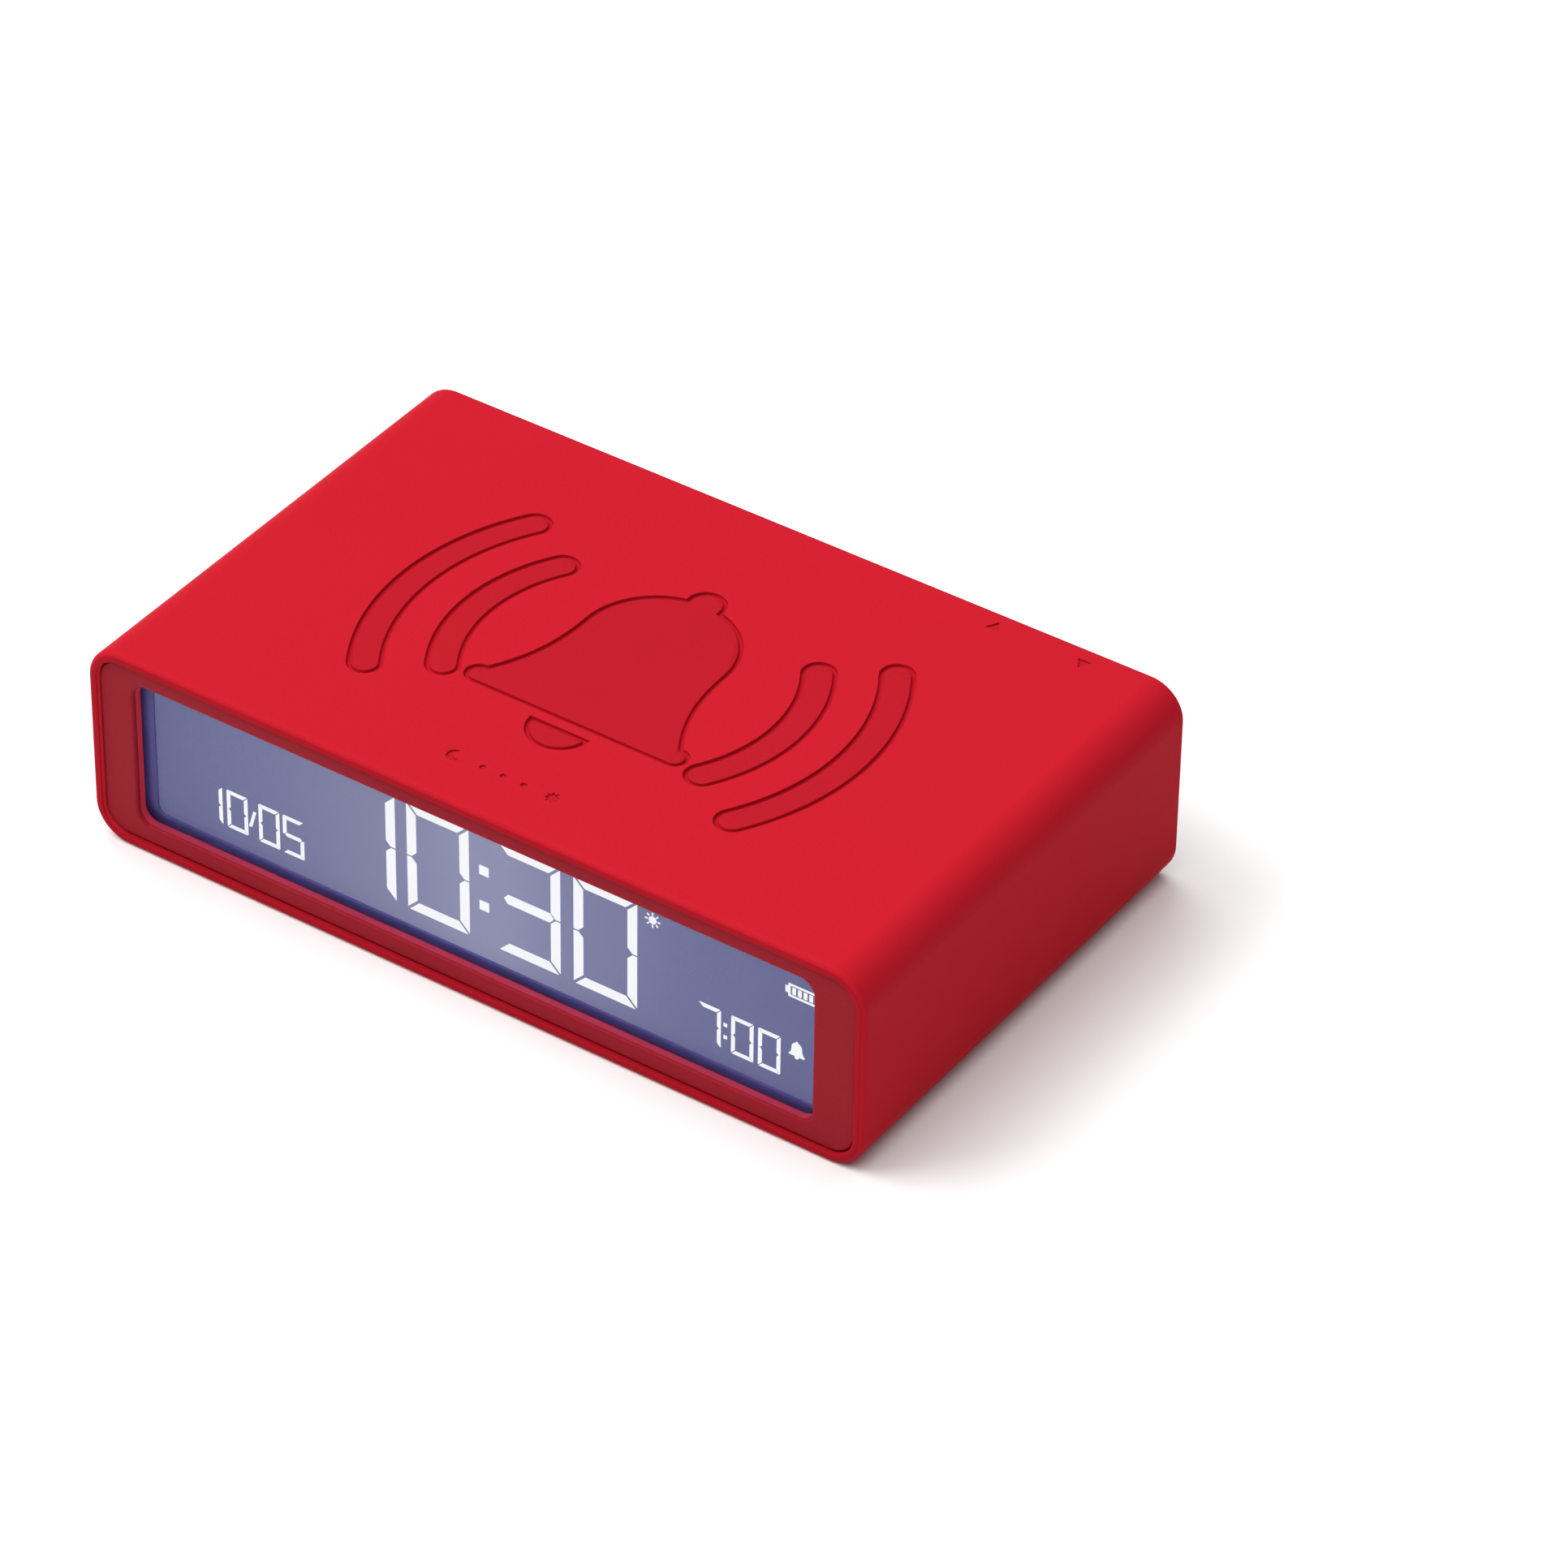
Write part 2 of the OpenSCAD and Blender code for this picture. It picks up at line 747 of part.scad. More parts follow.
// Bent strip that stands on the main board and presses on a foil
module contact_leaf() {
    leaf_t = 0.2;
    top = cavity_h / 2 - foil_t;
    foot_y = front(main_back_s);
    polygon([[foot_y, 4.8], [foot_y + leaf_t, 4.8], [foot_y + leaf_t, 6.6], [foot_y + 1.4, top - leaf_t],
        [foot_y + 1.9, top - 0.6], [foot_y + 2.05, top - 0.45], [foot_y + 1.6, top],
        [foot_y + 1.3, top], [foot_y, 6.8]]);
}

module contact_leaves() {
    color(copper) for (side = [1, -1]) translate([23, 0, mid_z]) scale([1, 1, side])
        rotate([90, 0, 90]) linear_extrude(2) contact_leaf();
}

// ---------------------------------------------------------------- battery

module battery_cell() {
    color([0.75, 0.76, 0.78]) translate([-battery_w / 2, battery_y, battery_low_z]) {
        translate([1, 0, 0]) cube([battery_w - 1, battery_d, battery_h]);
        translate([0, 1, 1]) cube([1 + eps, battery_d - 2, 1.4]);
    }
}

module battery_pad() {
    color(black) translate([-18, battery_y + 3, battery_low_z - battery_pad_t])
        cube([36, battery_d - 6, battery_pad_t]);
}

// Lead from the cell's end to the plug, offset sideways by dx and dy
module battery_lead(dx, dy) {
    cell_end = [-battery_w / 2 - eps, battery_y + 9 + dy, battery_low_z + 1.7];
    plug_end = [plug_x + dx, front(plug_s + 3), plug_z];
    lead(curve(cell_end, [-9, 0, 0], plug_end, [0, -8, 0]), lead_d);
}

module lead_red() {
    color([0.8, 0.1, 0.1]) battery_lead(-1, 1);
}

module lead_black() {
    color(black) battery_lead(1, -1);
}

module battery_socket() {
    color(white) difference() {
        block(6, 4.6, front(main_back_s), front(plug_s), plug_x, plug_z);
        block(5.1, 3.5, front(main_back_s + 1), front(plug_s + 1), plug_x, plug_z);
    }
}

module battery_plug() {
    color(white) block(5, 3.4, front(main_back_s + 1.1), front(plug_s + 3), plug_x, plug_z);
}

// ---------------------------------------------------------------- chassis and screws

module chassis() {
    color(black) difference() {
        intersection() {
            chassis_blocks();
            rounded_plate(chassis_w + 0.4, chassis_h, cavity_r, front(main_back_s), rear(panel_back_b));
        }
        at_corners(main_screw_x, main_screw_z)
            rod(screw_hole_d, front(main_back_s - 1), front(chassis_s + 2.4));
        at_corners(key_screw_x, key_screw_z)
            rod(screw_hole_d, rear(key_board_b + screw_length - 0.5), rear(board_face_b - 1));
        for (side = [-1, 1])
            rod(screw_hole_d, rear(panel_screw_length + 1.6), rear(panel_back_b), side * panel_screw_x);
        block(40, 4.6, rear(cross_wall_b + 1), rear(board_face_b - 1), 0, mid_z + 3.6);
        for (x = [-27, 27]) translate([x - 5, -6, floor_z - 1]) cube([10, 16, floor_t + 2]);
    }
}

// Side walls, floor, battery stop, cross wall and screw bosses, before they are drilled
module chassis_blocks() {
    wall_x = (chassis_w - chassis_wall) / 2;
    boss_web = chassis_w / 2 - main_screw_x;
    for (side = [-1, 1]) {
        block(chassis_wall, chassis_h, front(chassis_s), rear(board_face_b), side * wall_x);
        rod(3.8, rear(panel_screw_length + 2.6), rear(panel_back_b + 0.05), side * panel_screw_x);
        for (z = [-main_screw_z, main_screw_z])
            block(boss_web, 2.4, front(chassis_s), front(chassis_s + 3), side * (main_screw_x + boss_web / 2),
                mid_z + z);
    }
    at_corners(main_screw_x, main_screw_z) rod(boss_d, front(main_back_s), front(chassis_s + 3));
    block(chassis_w, floor_t, front(chassis_s), rear(board_face_b), 0, floor_z + floor_t / 2);
    block(battery_w + 4, 4.6, front(battery_stop_s), front(battery_stop_s + battery_stop_t),
        0, floor_z + 2.3);
    block(chassis_w, chassis_h, rear(cross_wall_b), rear(board_face_b));
    at_corners(key_screw_x, key_screw_z) rod(3.4, rear(key_board_b + screw_length), rear(cross_wall_b));
}

// Pan-head screw whose head rests on the plane y, driven towards +Y or, turned, towards -Y
module board_screw(x, z, y, turn) {
    translate([x, y, z]) rotate([0, 0, turn]) rotate([-90, 0, 0]) difference() {
        union() {
            cylinder(d = screw_shank_d, h = screw_length - 0.6);
            translate([0, 0, -screw_head_t]) cylinder(d = screw_head_d, h = screw_head_t);
        }
        cross_recess(-screw_head_t, 0.5);
    }
}

// Cross-shaped recess that opens at height z and goes up by depth
module cross_recess(z, depth) {
    translate([0, 0, z - 1]) for (turn = [0, 90]) rotate(turn)
        translate([-0.8, -0.18, 0]) cube([1.6, 0.36, depth + 1]);
}

module board_screws() {
    color(steel) for (sx = [-1, 1], sz = [-1, 1]) {
        board_screw(sx * main_screw_x, mid_z + sz * main_screw_z, front(main_board_s), 0);
        board_screw(sx * key_screw_x, mid_z + sz * key_screw_z, rear(key_board_b), 180);
    }
}

module panel_screws() {
    color(steel) for (side = [-1, 1])
        translate([side * panel_screw_x, rear(panel_inset + 0.05), mid_z]) rotate([90, 0, 0]) difference() {
            union() {
                cylinder(d1 = panel_screw_d, d2 = screw_shank_d, h = 0.8);
                cylinder(d = screw_shank_d, h = panel_screw_length);
            }
            cross_recess(0, 0.4);
        }
}

// ---------------------------------------------------------------- rear board and keys

// Flat ribbon that joins the two boards over the battery, with a slack hump
module link_ribbon() {
    y0 = front(main_back_s + link_socket_t);
    y1 = rear(board_face_b);
    steps = 24;
    function height(i) = 0.9 * (1 - cos(360 * i / steps)) / 2;
    low = [for (i = [0:steps]) [y0 + (y1 - y0) * i / steps, height(i) - 0.1]];
    high = [for (i = [steps:-1:0]) [y0 + (y1 - y0) * i / steps, height(i) + 0.1]];
    color([0.75, 0.75, 0.78]) translate([-link_w / 2, 0, link_z]) rotate([90, 0, 90]) linear_extrude(link_w)
        polygon(concat(low, high));
}

module link_connectors() {
    color(black) {
        block(link_w + 1, 2.6, front(main_back_s), front(main_back_s + link_socket_t), 0, link_z);
        block(link_w + 1, 2.6, rear(key_board_b), rear(key_board_b - 1.2), 0, link_z + 0.6);
    }
}

module key_board() {
    color(green) difference() {
        block(key_board_w, key_board_h, rear(board_face_b), rear(key_board_b));
        at_corners(key_screw_x, key_screw_z)
            rod(screw_hole_d + 0.2, rear(board_face_b + 1), rear(key_board_b - 1));
    }
}

// x of each key, from left to right as seen from the front
KEY_X = [-key_x - key_pitch, -key_x, key_x, key_x + key_pitch];

module switch_bases() {
    color(black) for (x = KEY_X) difference() {
        block(switch_w, switch_w, rear(key_board_b), rear(switch_face_b), x);
        rod(3, rear(plunger_bottom_b + key_travel + 0.3), rear(switch_face_b - 1), x);
    }
}

module switch_covers() {
    color(steel) for (x = KEY_X) difference() {
        block(switch_w, switch_w, rear(switch_face_b), rear(switch_face_b - switch_cover_t), x);
        rod(2.6, rear(switch_face_b + 1), rear(switch_face_b - 1), x);
    }
}

module plunger(x) {
    color(black) rod(plunger_d, rear(plunger_bottom_b), rear(plunger_top_b), x);
}

module plunger_left_outer() {
    plunger(KEY_X[0]);
}

module plunger_left_inner() {
    plunger(KEY_X[1]);
}

module plunger_right_inner() {
    plunger(KEY_X[2]);
}

module plunger_right_outer() {
    plunger(KEY_X[3]);
}

// Cap with a shallow dish for the finger, a flange behind the panel and a stem
module key_cap(x) {
    chamfer = 0.3;
    color(red) difference() {
        union() {
            translate([x, rear(key_face_b), mid_z]) rotate([90, 0, 0])
                cylinder(d1 = key_d - 2 * chamfer, d2 = key_d, h = chamfer);
            rod(key_d, rear(key_flange_b + eps), rear(key_face_b + chamfer), x);
            rod(key_flange_d, rear(key_flange_b + key_flange_t), rear(key_flange_b), x);
            rod(key_stem_d, rear(plunger_top_b), rear(key_flange_b), x);
        }
        translate([x, rear(key_face_b) + 8.8, mid_z]) sphere(r = 9, $fn = 64);
    }
}

module key_left_outer() {
    key_cap(KEY_X[0]);
}

module key_left_inner() {
    key_cap(KEY_X[1]);
}

module key_right_inner() {
    key_cap(KEY_X[2]);
}

module key_right_outer() {
    key_cap(KEY_X[3]);
}

// ---------------------------------------------------------------- port, light, sounder, rear panel

module usb_shell() {
    color(steel) difference() {
        standing(rear(key_board_b), rear(usb_mouth_b)) pill(usb_w, usb_h);
        standing(rear(key_board_b + 1), rear(usb_mouth_b - 1))
            pill(usb_w - 2 * usb_wall, usb_h - 2 * usb_wall);
    }
}

module usb_tongue() {
    color(black) {
        standing(rear(key_board_b), rear(usb_base_b))
            pill(usb_w - 2 * usb_wall - 0.1, usb_h - 2 * usb_wall - 0.1);
        block(usb_tongue_w, usb_tongue_t, rear(usb_base_b + 0.5), rear(usb_tongue_b));
    }
}

module charge_light() {
    color([0.95, 0.95, 0.85]) block(3.2, 1.6, rear(key_board_b), rear(key_board_b - 1.1), light_x);
}

module light_pipe() {
    color([0.9, 0.9, 0.95]) {
        rod(pipe_d, rear(key_board_b - 1.2), rear(panel_inset + 0.1), light_x);
        rod(pipe_d + 1.4, rear(panel_back_b + 0.6), rear(panel_back_b), light_x);
    }
}

// Ring along Y given by its two diameters
module ring(outer_d, inner_d, y0, y1, x) {
    difference() {
        rod(outer_d, y0, y1, x);
        rod(inner_d, y0 - 1, y1 + 1, x);
    }
}

module sounder_frame() {
    color(black) {
        ring(sounder_d, sounder_d - 1, rear(sounder_b + 4), rear(sounder_b), sounder_x);
        rod(sounder_d, rear(sounder_b + 4.4), rear(sounder_b + 3.9), sounder_x);
    }
}

module sounder_magnet() {
    color(steel) rod(7.4, rear(sounder_b + 3.9), rear(sounder_b + 1.4), sounder_x);
}

module sounder_coil() {
    color(copper) ring(9, 8, rear(sounder_b + 2.9), rear(sounder_b + 0.65), sounder_x);
}

module sounder_diaphragm() {
    color([0.2, 0.2, 0.22]) rod(sounder_d - 1, rear(sounder_b + 0.65), rear(sounder_b + 0.5), sounder_x);
}

module rear_panel() {
    color(dark_red) difference() {
        hull() {
            rounded_plate(panel_w - 0.5, panel_h - 0.5, panel_r - 0.25, rear(1), rear(panel_inset));
            rounded_plate(panel_w, panel_h, panel_r, rear(panel_back_b), rear(panel_inset + 0.25));
        }
        for (x = KEY_X) rod(key_hole_d, rear(panel_back_b + 1), rear(0), x);
        standing(rear(panel_back_b + 1), rear(0)) pill(usb_w + 0.3, usb_h + 0.3);
        rod(pipe_d + 0.1, rear(panel_back_b + 1), rear(0), light_x);
        sound_holes();
        for (side = [-1, 1]) {
            rod(screw_hole_d + 0.2, rear(panel_back_b + 1), rear(0), side * panel_screw_x);
            translate([side * panel_screw_x, rear(panel_inset), mid_z]) rotate([90, 0, 0])
                cylinder(d1 = panel_screw_d + 0.2, d2 = screw_hole_d + 0.1, h = 0.9);
        }
    }
}

// Seven small holes in front of the sounder: one in the middle and six around it
module sound_holes() {
    hole_d = 1.1;
    rod(hole_d, rear(panel_back_b + 1), rear(0), sounder_x);
    for (turn = [0:60:300])
        rod(hole_d, rear(panel_back_b + 1), rear(0), sounder_x + 2.3 * cos(turn), mid_z + 2.3 * sin(turn));
}

case_sleeve();
front_bezel();
display_lens();
lens_gasket();
front_polarizer();
front_glass();
display_segments();
cell_seal();
rear_glass();
rear_polarizer();
diffuser_film();
light_guide();
reflector_film();
backlight_board();
backlight_leds();
display_frame();
display_ribbon();
ribbon_socket();
main_board();
clock_chip();
charging_chip();
quartz_crystal();
small_chips();
tilt_can();
tilt_base();
tilt_ball();
touch_foil_top();
touch_foil_bottom();
contact_leaves();
battery_cell();
battery_pad();
lead_red();
lead_black();
battery_plug();
battery_socket();
chassis();
board_screws();
link_ribbon();
link_connectors();
key_board();
switch_bases();
switch_covers();
key_left_outer();
key_left_inner();
key_right_inner();
key_right_outer();
plunger_left_outer();
plunger_left_inner();
plunger_right_inner();
plunger_right_outer();
usb_shell();
usb_tongue();
charge_light();
light_pipe();
sounder_frame();
sounder_magnet();
sounder_coil();
sounder_diaphragm();
rear_panel();
panel_screws();
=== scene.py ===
"""Looks of a flip-over travel alarm clock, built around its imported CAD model."""
import math

import bmesh
import bpy
from mathutils import Matrix, Vector
from mathutils.geometry import delaunay_2d_cdt


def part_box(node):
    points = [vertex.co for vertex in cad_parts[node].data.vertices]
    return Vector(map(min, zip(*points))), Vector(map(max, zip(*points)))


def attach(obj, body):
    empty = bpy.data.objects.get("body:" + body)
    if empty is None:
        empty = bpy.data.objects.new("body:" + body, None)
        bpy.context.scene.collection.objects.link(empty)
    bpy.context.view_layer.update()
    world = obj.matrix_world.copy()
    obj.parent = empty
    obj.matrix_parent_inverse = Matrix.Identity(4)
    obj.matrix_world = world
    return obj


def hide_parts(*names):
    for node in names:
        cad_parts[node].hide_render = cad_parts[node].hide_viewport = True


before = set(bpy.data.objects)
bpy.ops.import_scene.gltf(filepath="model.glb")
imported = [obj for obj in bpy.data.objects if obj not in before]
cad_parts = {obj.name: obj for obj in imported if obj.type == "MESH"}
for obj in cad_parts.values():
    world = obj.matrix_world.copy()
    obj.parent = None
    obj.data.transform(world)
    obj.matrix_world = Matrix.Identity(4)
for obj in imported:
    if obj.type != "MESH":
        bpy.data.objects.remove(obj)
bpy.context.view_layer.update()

# ------------------------------------------------------------------ sizes, in millimetres
MM = 0.001


def node_box(name):
    """Lowest and highest corner of a CAD node, in millimetres."""
    low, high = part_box(name)
    return Vector(low) / MM, Vector(high) / MM


_, case_high = node_box("case_sleeve")
HALF_W, HALF_D, CASE_H = case_high.x, case_high.y, case_high.z
MID_Z = CASE_H / 2
CORNER_R = 3.6      # long corners of the sleeve
EDGE_R = 0.6        # front and back edges of the sleeve
LIP_T = 1.0
WALL_T = 1.7
SMALL_SIGN_DEPTH = 0.175
GROOVE_W = 0.45     # groove around the bell
GROOVE_DEPTH = 0.35
MIDDLE_DROP = 0.04  # of the area inside the groove
BELL_H = 27.6
EMBLEM_Y = -0.6     # middle of the bell, just ahead of the middle of the case
TOUCH_SIGN_Y = -19.65
KEY_SIGN_Y = 23.1
KEY_SIGN_R = 0.8
KEY_SIGNS = ((22.7, 90), (32.0, -90))   # (x, angle of the arrowhead's tip) over the right-hand keys
ROUND_SHARE = 0.3   # how far in the middle point of a two-step rounding lies, as a share of its size

bezel_low, _ = node_box("front_bezel")
lens_low, lens_high = node_box("display_lens")
panel_low, panel_high = node_box("rear_panel")
PANEL_GAP = 0.1     # around the bezel and the rear cover
PANEL_R = CORNER_R - LIP_T - PANEL_GAP
PANEL_EDGE_R = 0.2
LENS_OVERLAP = 0.9  # of the lens behind the window's edge
WINDOW_X = (lens_low.x + lens_high.x) / 2
WINDOW_W = lens_high.x - lens_low.x - 2 * LENS_OVERLAP
WINDOW_H = lens_high.z - lens_low.z - 2 * LENS_OVERLAP
WINDOW_R = 1.5
BEZEL_BACK = 2.9    # back of the bezel's plate, behind the front end of the sleeve

HOOK_Z = 5.2        # of the bezel's hooks and their pockets, above and below the middle
HOOK_T = 0.65
HOOK_BARB = 0.4
HOOK_HALF_H = 1.4
HOOK_GAP = 0.2      # between a hook and the sleeve
POCKET_START = 5.0  # behind the front end of the sleeve
POCKET_END = 7.1
POCKET_HALF_H = 1.6
POCKET_DEPTH = 0.45

KEY_D = 5.6
KEY_HOLE_D = 6.0
KEY_FLANGE_T = 0.6
PORT_W = 8.94
PORT_H = 3.16
PORT_WALL = 0.3
TONGUE_W = 6.7
TONGUE_T = 0.7


def front(s):
    """y of the plane that lies s behind the front end of the sleeve."""
    return -HALF_D + s


def rear(b):
    """y of the plane that lies b ahead of the back end of the sleeve."""
    return HALF_D - b


# ------------------------------------------------------------------ outlines
def arc(cx, cy, r, start, end, steps):
    """Points on an arc, angles in degrees."""
    turn = [math.radians(start + (end - start) * i / steps) for i in range(steps + 1)]
    return [(cx + r * math.cos(t), cy + r * math.sin(t)) for t in turn]


def circle(cx, cy, r, steps):
    return arc(cx, cy, r, 0, 360, steps)[:-1]


def round_rect(w, h, r, steps):
    """Rounded rectangle about the origin, anticlockwise from the right end of the lower right corner."""
    x, y = w / 2 - r, h / 2 - r
    return (arc(x, -y, r, -90, 0, steps) + arc(x, y, r, 0, 90, steps)
            + arc(-x, y, r, 90, 180, steps) + arc(-x, -y, r, 180, 270, steps))


def pill(w, h, steps=24):
    """Slot with round ends, anticlockwise, about the origin."""
    x = (w - h) / 2
    return arc(x, 0, h / 2, -90, 90, steps) + arc(-x, 0, h / 2, 90, 270, steps)


def moved(loop, dx, dy):
    return [(x + dx, y + dy) for x, y in loop]


def turned(loop, degrees):
    c, s = math.cos(math.radians(degrees)), math.sin(math.radians(degrees))
    return [(x * c - y * s, x * s + y * c) for x, y in loop]


def area(loop):
    return sum(a[0] * b[1] - b[0] * a[1] for a, b in zip(loop, loop[1:] + loop[:1])) / 2


def anticlockwise(loop):
    return loop if area(loop) > 0 else loop[::-1]


def gap(point, loop):
    """Shortest distance from a point to an outline."""
    nearest = math.inf
    for a, b in zip(loop, loop[1:] + loop[:1]):
        start, along = Vector(a), Vector(b) - Vector(a)
        t = (Vector(point) - start).dot(along) / max(along.length_squared, 1e-12)
        nearest = min(nearest, (Vector(point) - start - along * min(1, max(0, t))).length)
    return nearest


def untangled(inner, loop, distance):
    """An inset outline whose crossed-over points are put on the nearest point along it that has not
    crossed, which is one that keeps nearly the whole distance from the first outline."""
    nearly = 0.85
    good = [gap(point, loop) > nearly * distance for point in inner]
    count = len(inner)
    out = []
    for i in range(count):
        step = next(k for k in range(count) if good[(i + k) % count] or good[i - k])
        out.append(inner[(i + step) % count] if good[(i + step) % count] else inner[i - step])
    return out


def grown(loop, distance):
    """An anticlockwise outline moved outwards by distance, corners kept sharp."""
    spike_limit = 0.4   # the smaller it is, the further a very sharp corner may reach
    safe_inset = 0.2    # up to which no point of these outlines crosses over
    out = []
    count = len(loop)
    for i, (x, y) in enumerate(loop):
        before = Vector((x, y)) - Vector(loop[i - 1])
        after = Vector(loop[(i + 1) % count]) - Vector((x, y))
        n1 = Vector((before.y, -before.x)).normalized()
        n2 = Vector((after.y, -after.x)).normalized()
        half = (n1 + n2).normalized()
        reach = distance / max(half.dot(n1), spike_limit)
        out.append((x + half.x * reach, y + half.y * reach))
    return untangled(out, loop, -distance) if distance < -safe_inset else out


def cut(loop, nx, ny, limit):
    """The part of an outline where nx * x + ny * y is at least limit."""
    out = []
    for (ax, ay), (bx, by) in zip(loop, loop[1:] + loop[:1]):
        a, b = nx * ax + ny * ay - limit, nx * bx + ny * by - limit
        if a >= 0:
            out.append((ax, ay))
        if a * b < 0:
            t = a / (a - b)
            out.append((ax + (bx - ax) * t, ay + (by - ay) * t))
    return out


# ------------------------------------------------------------------ pressed-in signs
def bell_half(v):
    """Half of the bell's width at height v, from 0 at the rim to 1 at the crown."""
    shoulder, waist, flare, flare_power = 0.62, 0.285, 0.14, 2.4
    if v > shoulder:
        return waist * math.sqrt(max(0.0, 1 - ((v - shoulder) / (1 - shoulder)) ** 2))
    return waist + flare * ((shoulder - v) / shoulder) ** flare_power


def bell(h, steps=40):
    """Outlines of a bell of height h: its body with rim and knob, and its clapper."""
    body_h, rim_y = 0.72 * h, -0.30 * h
    body_w = 1.35 * body_h
    rim_half, rim_r, rim_t = 0.43 * h, 0.049 * h, 0.05 * h
    knob_y, knob_r = rim_y + body_h, 0.07 * h
    clapper_y, clapper_r = rim_y - 0.085 * h, 0.115 * h
    side = []
    for i in range(steps + 1):
        v = math.sin(math.pi / 2 * i / steps)
        x, y = bell_half(v) * body_w, rim_y + body_h * v
        if y > rim_y + rim_t and math.hypot(x, y - knob_y) > knob_r:
            side.append((x, y))
    last_x, last_y = side[-1]
    knob_start = math.degrees(math.atan2(last_y - knob_y, last_x))
    right = (arc(rim_half - rim_r, rim_y, rim_r, -90, 90, 12) + side
             + arc(0, knob_y, knob_r, knob_start, 90, 14)[1:])
    body = right + [(-x, y) for x, y in right[::-1]][1:]
    clapper = arc(0, clapper_y, clapper_r, 180, 360, 20)
    return [anticlockwise(body), anticlockwise(clapper)]


def sound_waves(h):
    """Two arcs with round ends on either side of a bell of height h."""
    half_stroke, reach = 0.06 * h, 33
    outlines = []
    for side in (0, 180):
        for r in (0.60 * h, 0.85 * h):
            end_x, end_y = r * math.cos(math.radians(reach)), r * math.sin(math.radians(reach))
            outline = (arc(0, 0, r + half_stroke, -reach, reach, 28)
                       + arc(end_x, end_y, half_stroke, reach, reach + 180, 12)[1:-1]
                       + arc(0, 0, r - half_stroke, reach, -reach, 28)
                       + arc(end_x, -end_y, half_stroke, 180 - reach, 360 - reach, 12)[1:-1])
            outlines.append(turned(outline, side))
    return outlines


def crossed_bell(h):
    """A bell with a bar across it and a gap on both sides of the bar."""
    bar = 0.11 * h
    clearance = 1.2 * bar   # from the middle of the bar
    smallest = 0.5          # area of a part that is worth drawing
    slope = math.sqrt(0.5)
    outlines = []
    for shape in bell(h):
        for sign in (1, -1):
            part = cut(shape, sign * slope, sign * slope, clearance)
            if len(part) > 2 and abs(area(part)) > smallest:
                outlines.append(anticlockwise(part))
    x, y = 1.05 * h / 2, bar / 2
    strip = [(-x, -y), (x, -y), (x, y), (-x, y)]
    return outlines + [turned(strip, -45)]


def touch_sign():
    """Moon, three dots and a small sun in a row."""
    r, end_x, dot_r, dot_pitch = 0.75, 5.2, 0.3, 2.2
    hollow_x, hollow_y, hollow_r = 0.45, 0.2, 0.62
    moon = arc(-end_x, 0, r, 86, 322, 24) + arc(hollow_x - end_x, hollow_y, hollow_r, 280, 128, 16)
    sun = []
    for i in range(16):
        ray, turn = (r if i % 2 else 0.55 * r), math.pi * i / 8
        sun.append((end_x + ray * math.cos(turn), ray * math.sin(turn)))
    dots = [circle(x, 0, dot_r, 20) for x in (-dot_pitch, 0, dot_pitch)]
    return [anticlockwise(loop) for loop in [moon, sun] + dots]


def key_signs():
    """Small arrowheads over the two right-hand keys: up and down."""
    return [arc(x, KEY_SIGN_Y, KEY_SIGN_R, tip, tip + 240, 2) for x, tip in KEY_SIGNS]


# ------------------------------------------------------------------ mesh building
def new_piece(name, bm, materials, body="case", replaces=()):
    """Turns a bmesh in millimetres into a finished piece that rides on a body."""
    same_place, sharp_angle = 1e-5, 50
    bmesh.ops.remove_doubles(bm, verts=bm.verts, dist=same_place)
    bmesh.ops.recalc_face_normals(bm, faces=bm.faces)
    bmesh.ops.scale(bm, vec=(MM, MM, MM), verts=bm.verts)
    mesh = bpy.data.meshes.new(name)
    bm.to_mesh(mesh)
    bm.free()
    for polygon in mesh.polygons:
        polygon.use_smooth = True
    mesh.set_sharp_from_angle(angle=math.radians(sharp_angle))
    piece = bpy.data.objects.new(name, mesh)
    bpy.context.scene.collection.objects.link(piece)
    for material in materials:
        mesh.materials.append(material)
    keep_flat = piece.modifiers.new("flat_faces_stay_flat", "WEIGHTED_NORMAL")
    keep_flat.weight = 90
    keep_flat.keep_sharp = True
    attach(piece, body)
    if replaces:
        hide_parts(*replaces)


def ring(bm, loop, place):
    """One ring of vertices: every point of a 2D outline put in space by place."""
    return [bm.verts.new(place(x, y)) for x, y in loop]


def band(bm, a, b, skip=(), finish=0):
    """Quads between two rings of the same length; finish picks one of the piece's materials."""
    count = len(a)
    for i in range(count):
        if i not in skip:
            j = (i + 1) % count
            bm.faces.new((a[i], a[j], b[j], b[i])).material_index = finish


def bands(bm, rings, closed=False, finish=0):
    for a, b in zip(rings, rings[1:]):
        band(bm, a, b, finish=finish)
    if closed:
        band(bm, rings[-1], rings[0], finish=finish)


def along_z(v):
    return v.co.x, v.co.y


def along_y(v):
    return v.co.x, v.co.z


def along_x(v):
    return v.co.y, v.co.z


def fill(bm, outer, holes=(), flat=along_z, finish=0):
    """Triangles over the flat region inside outer and outside the holes, on the vertices given."""
    inside_only, tolerance = 1, 1e-6
    loops = [edge if area([flat(v) for v in edge]) > 0 else edge[::-1] for edge in [outer, *holes]]
    verts = [v for loop in loops for v in loop]
    faces, start = [], 0
    for loop in loops:
        faces.append(list(range(start, start + len(loop))))
        start += len(loop)
    points = [Vector(flat(v)) for v in verts]
    _, _, triangles, point_source, _, face_source = delaunay_2d_cdt(points, [], faces, inside_only, tolerance)
    for triangle, source in zip(triangles, face_source):
        if source == [0]:
            bm.faces.new([verts[point_source[i][0]] for i in triangle]).material_index = finish


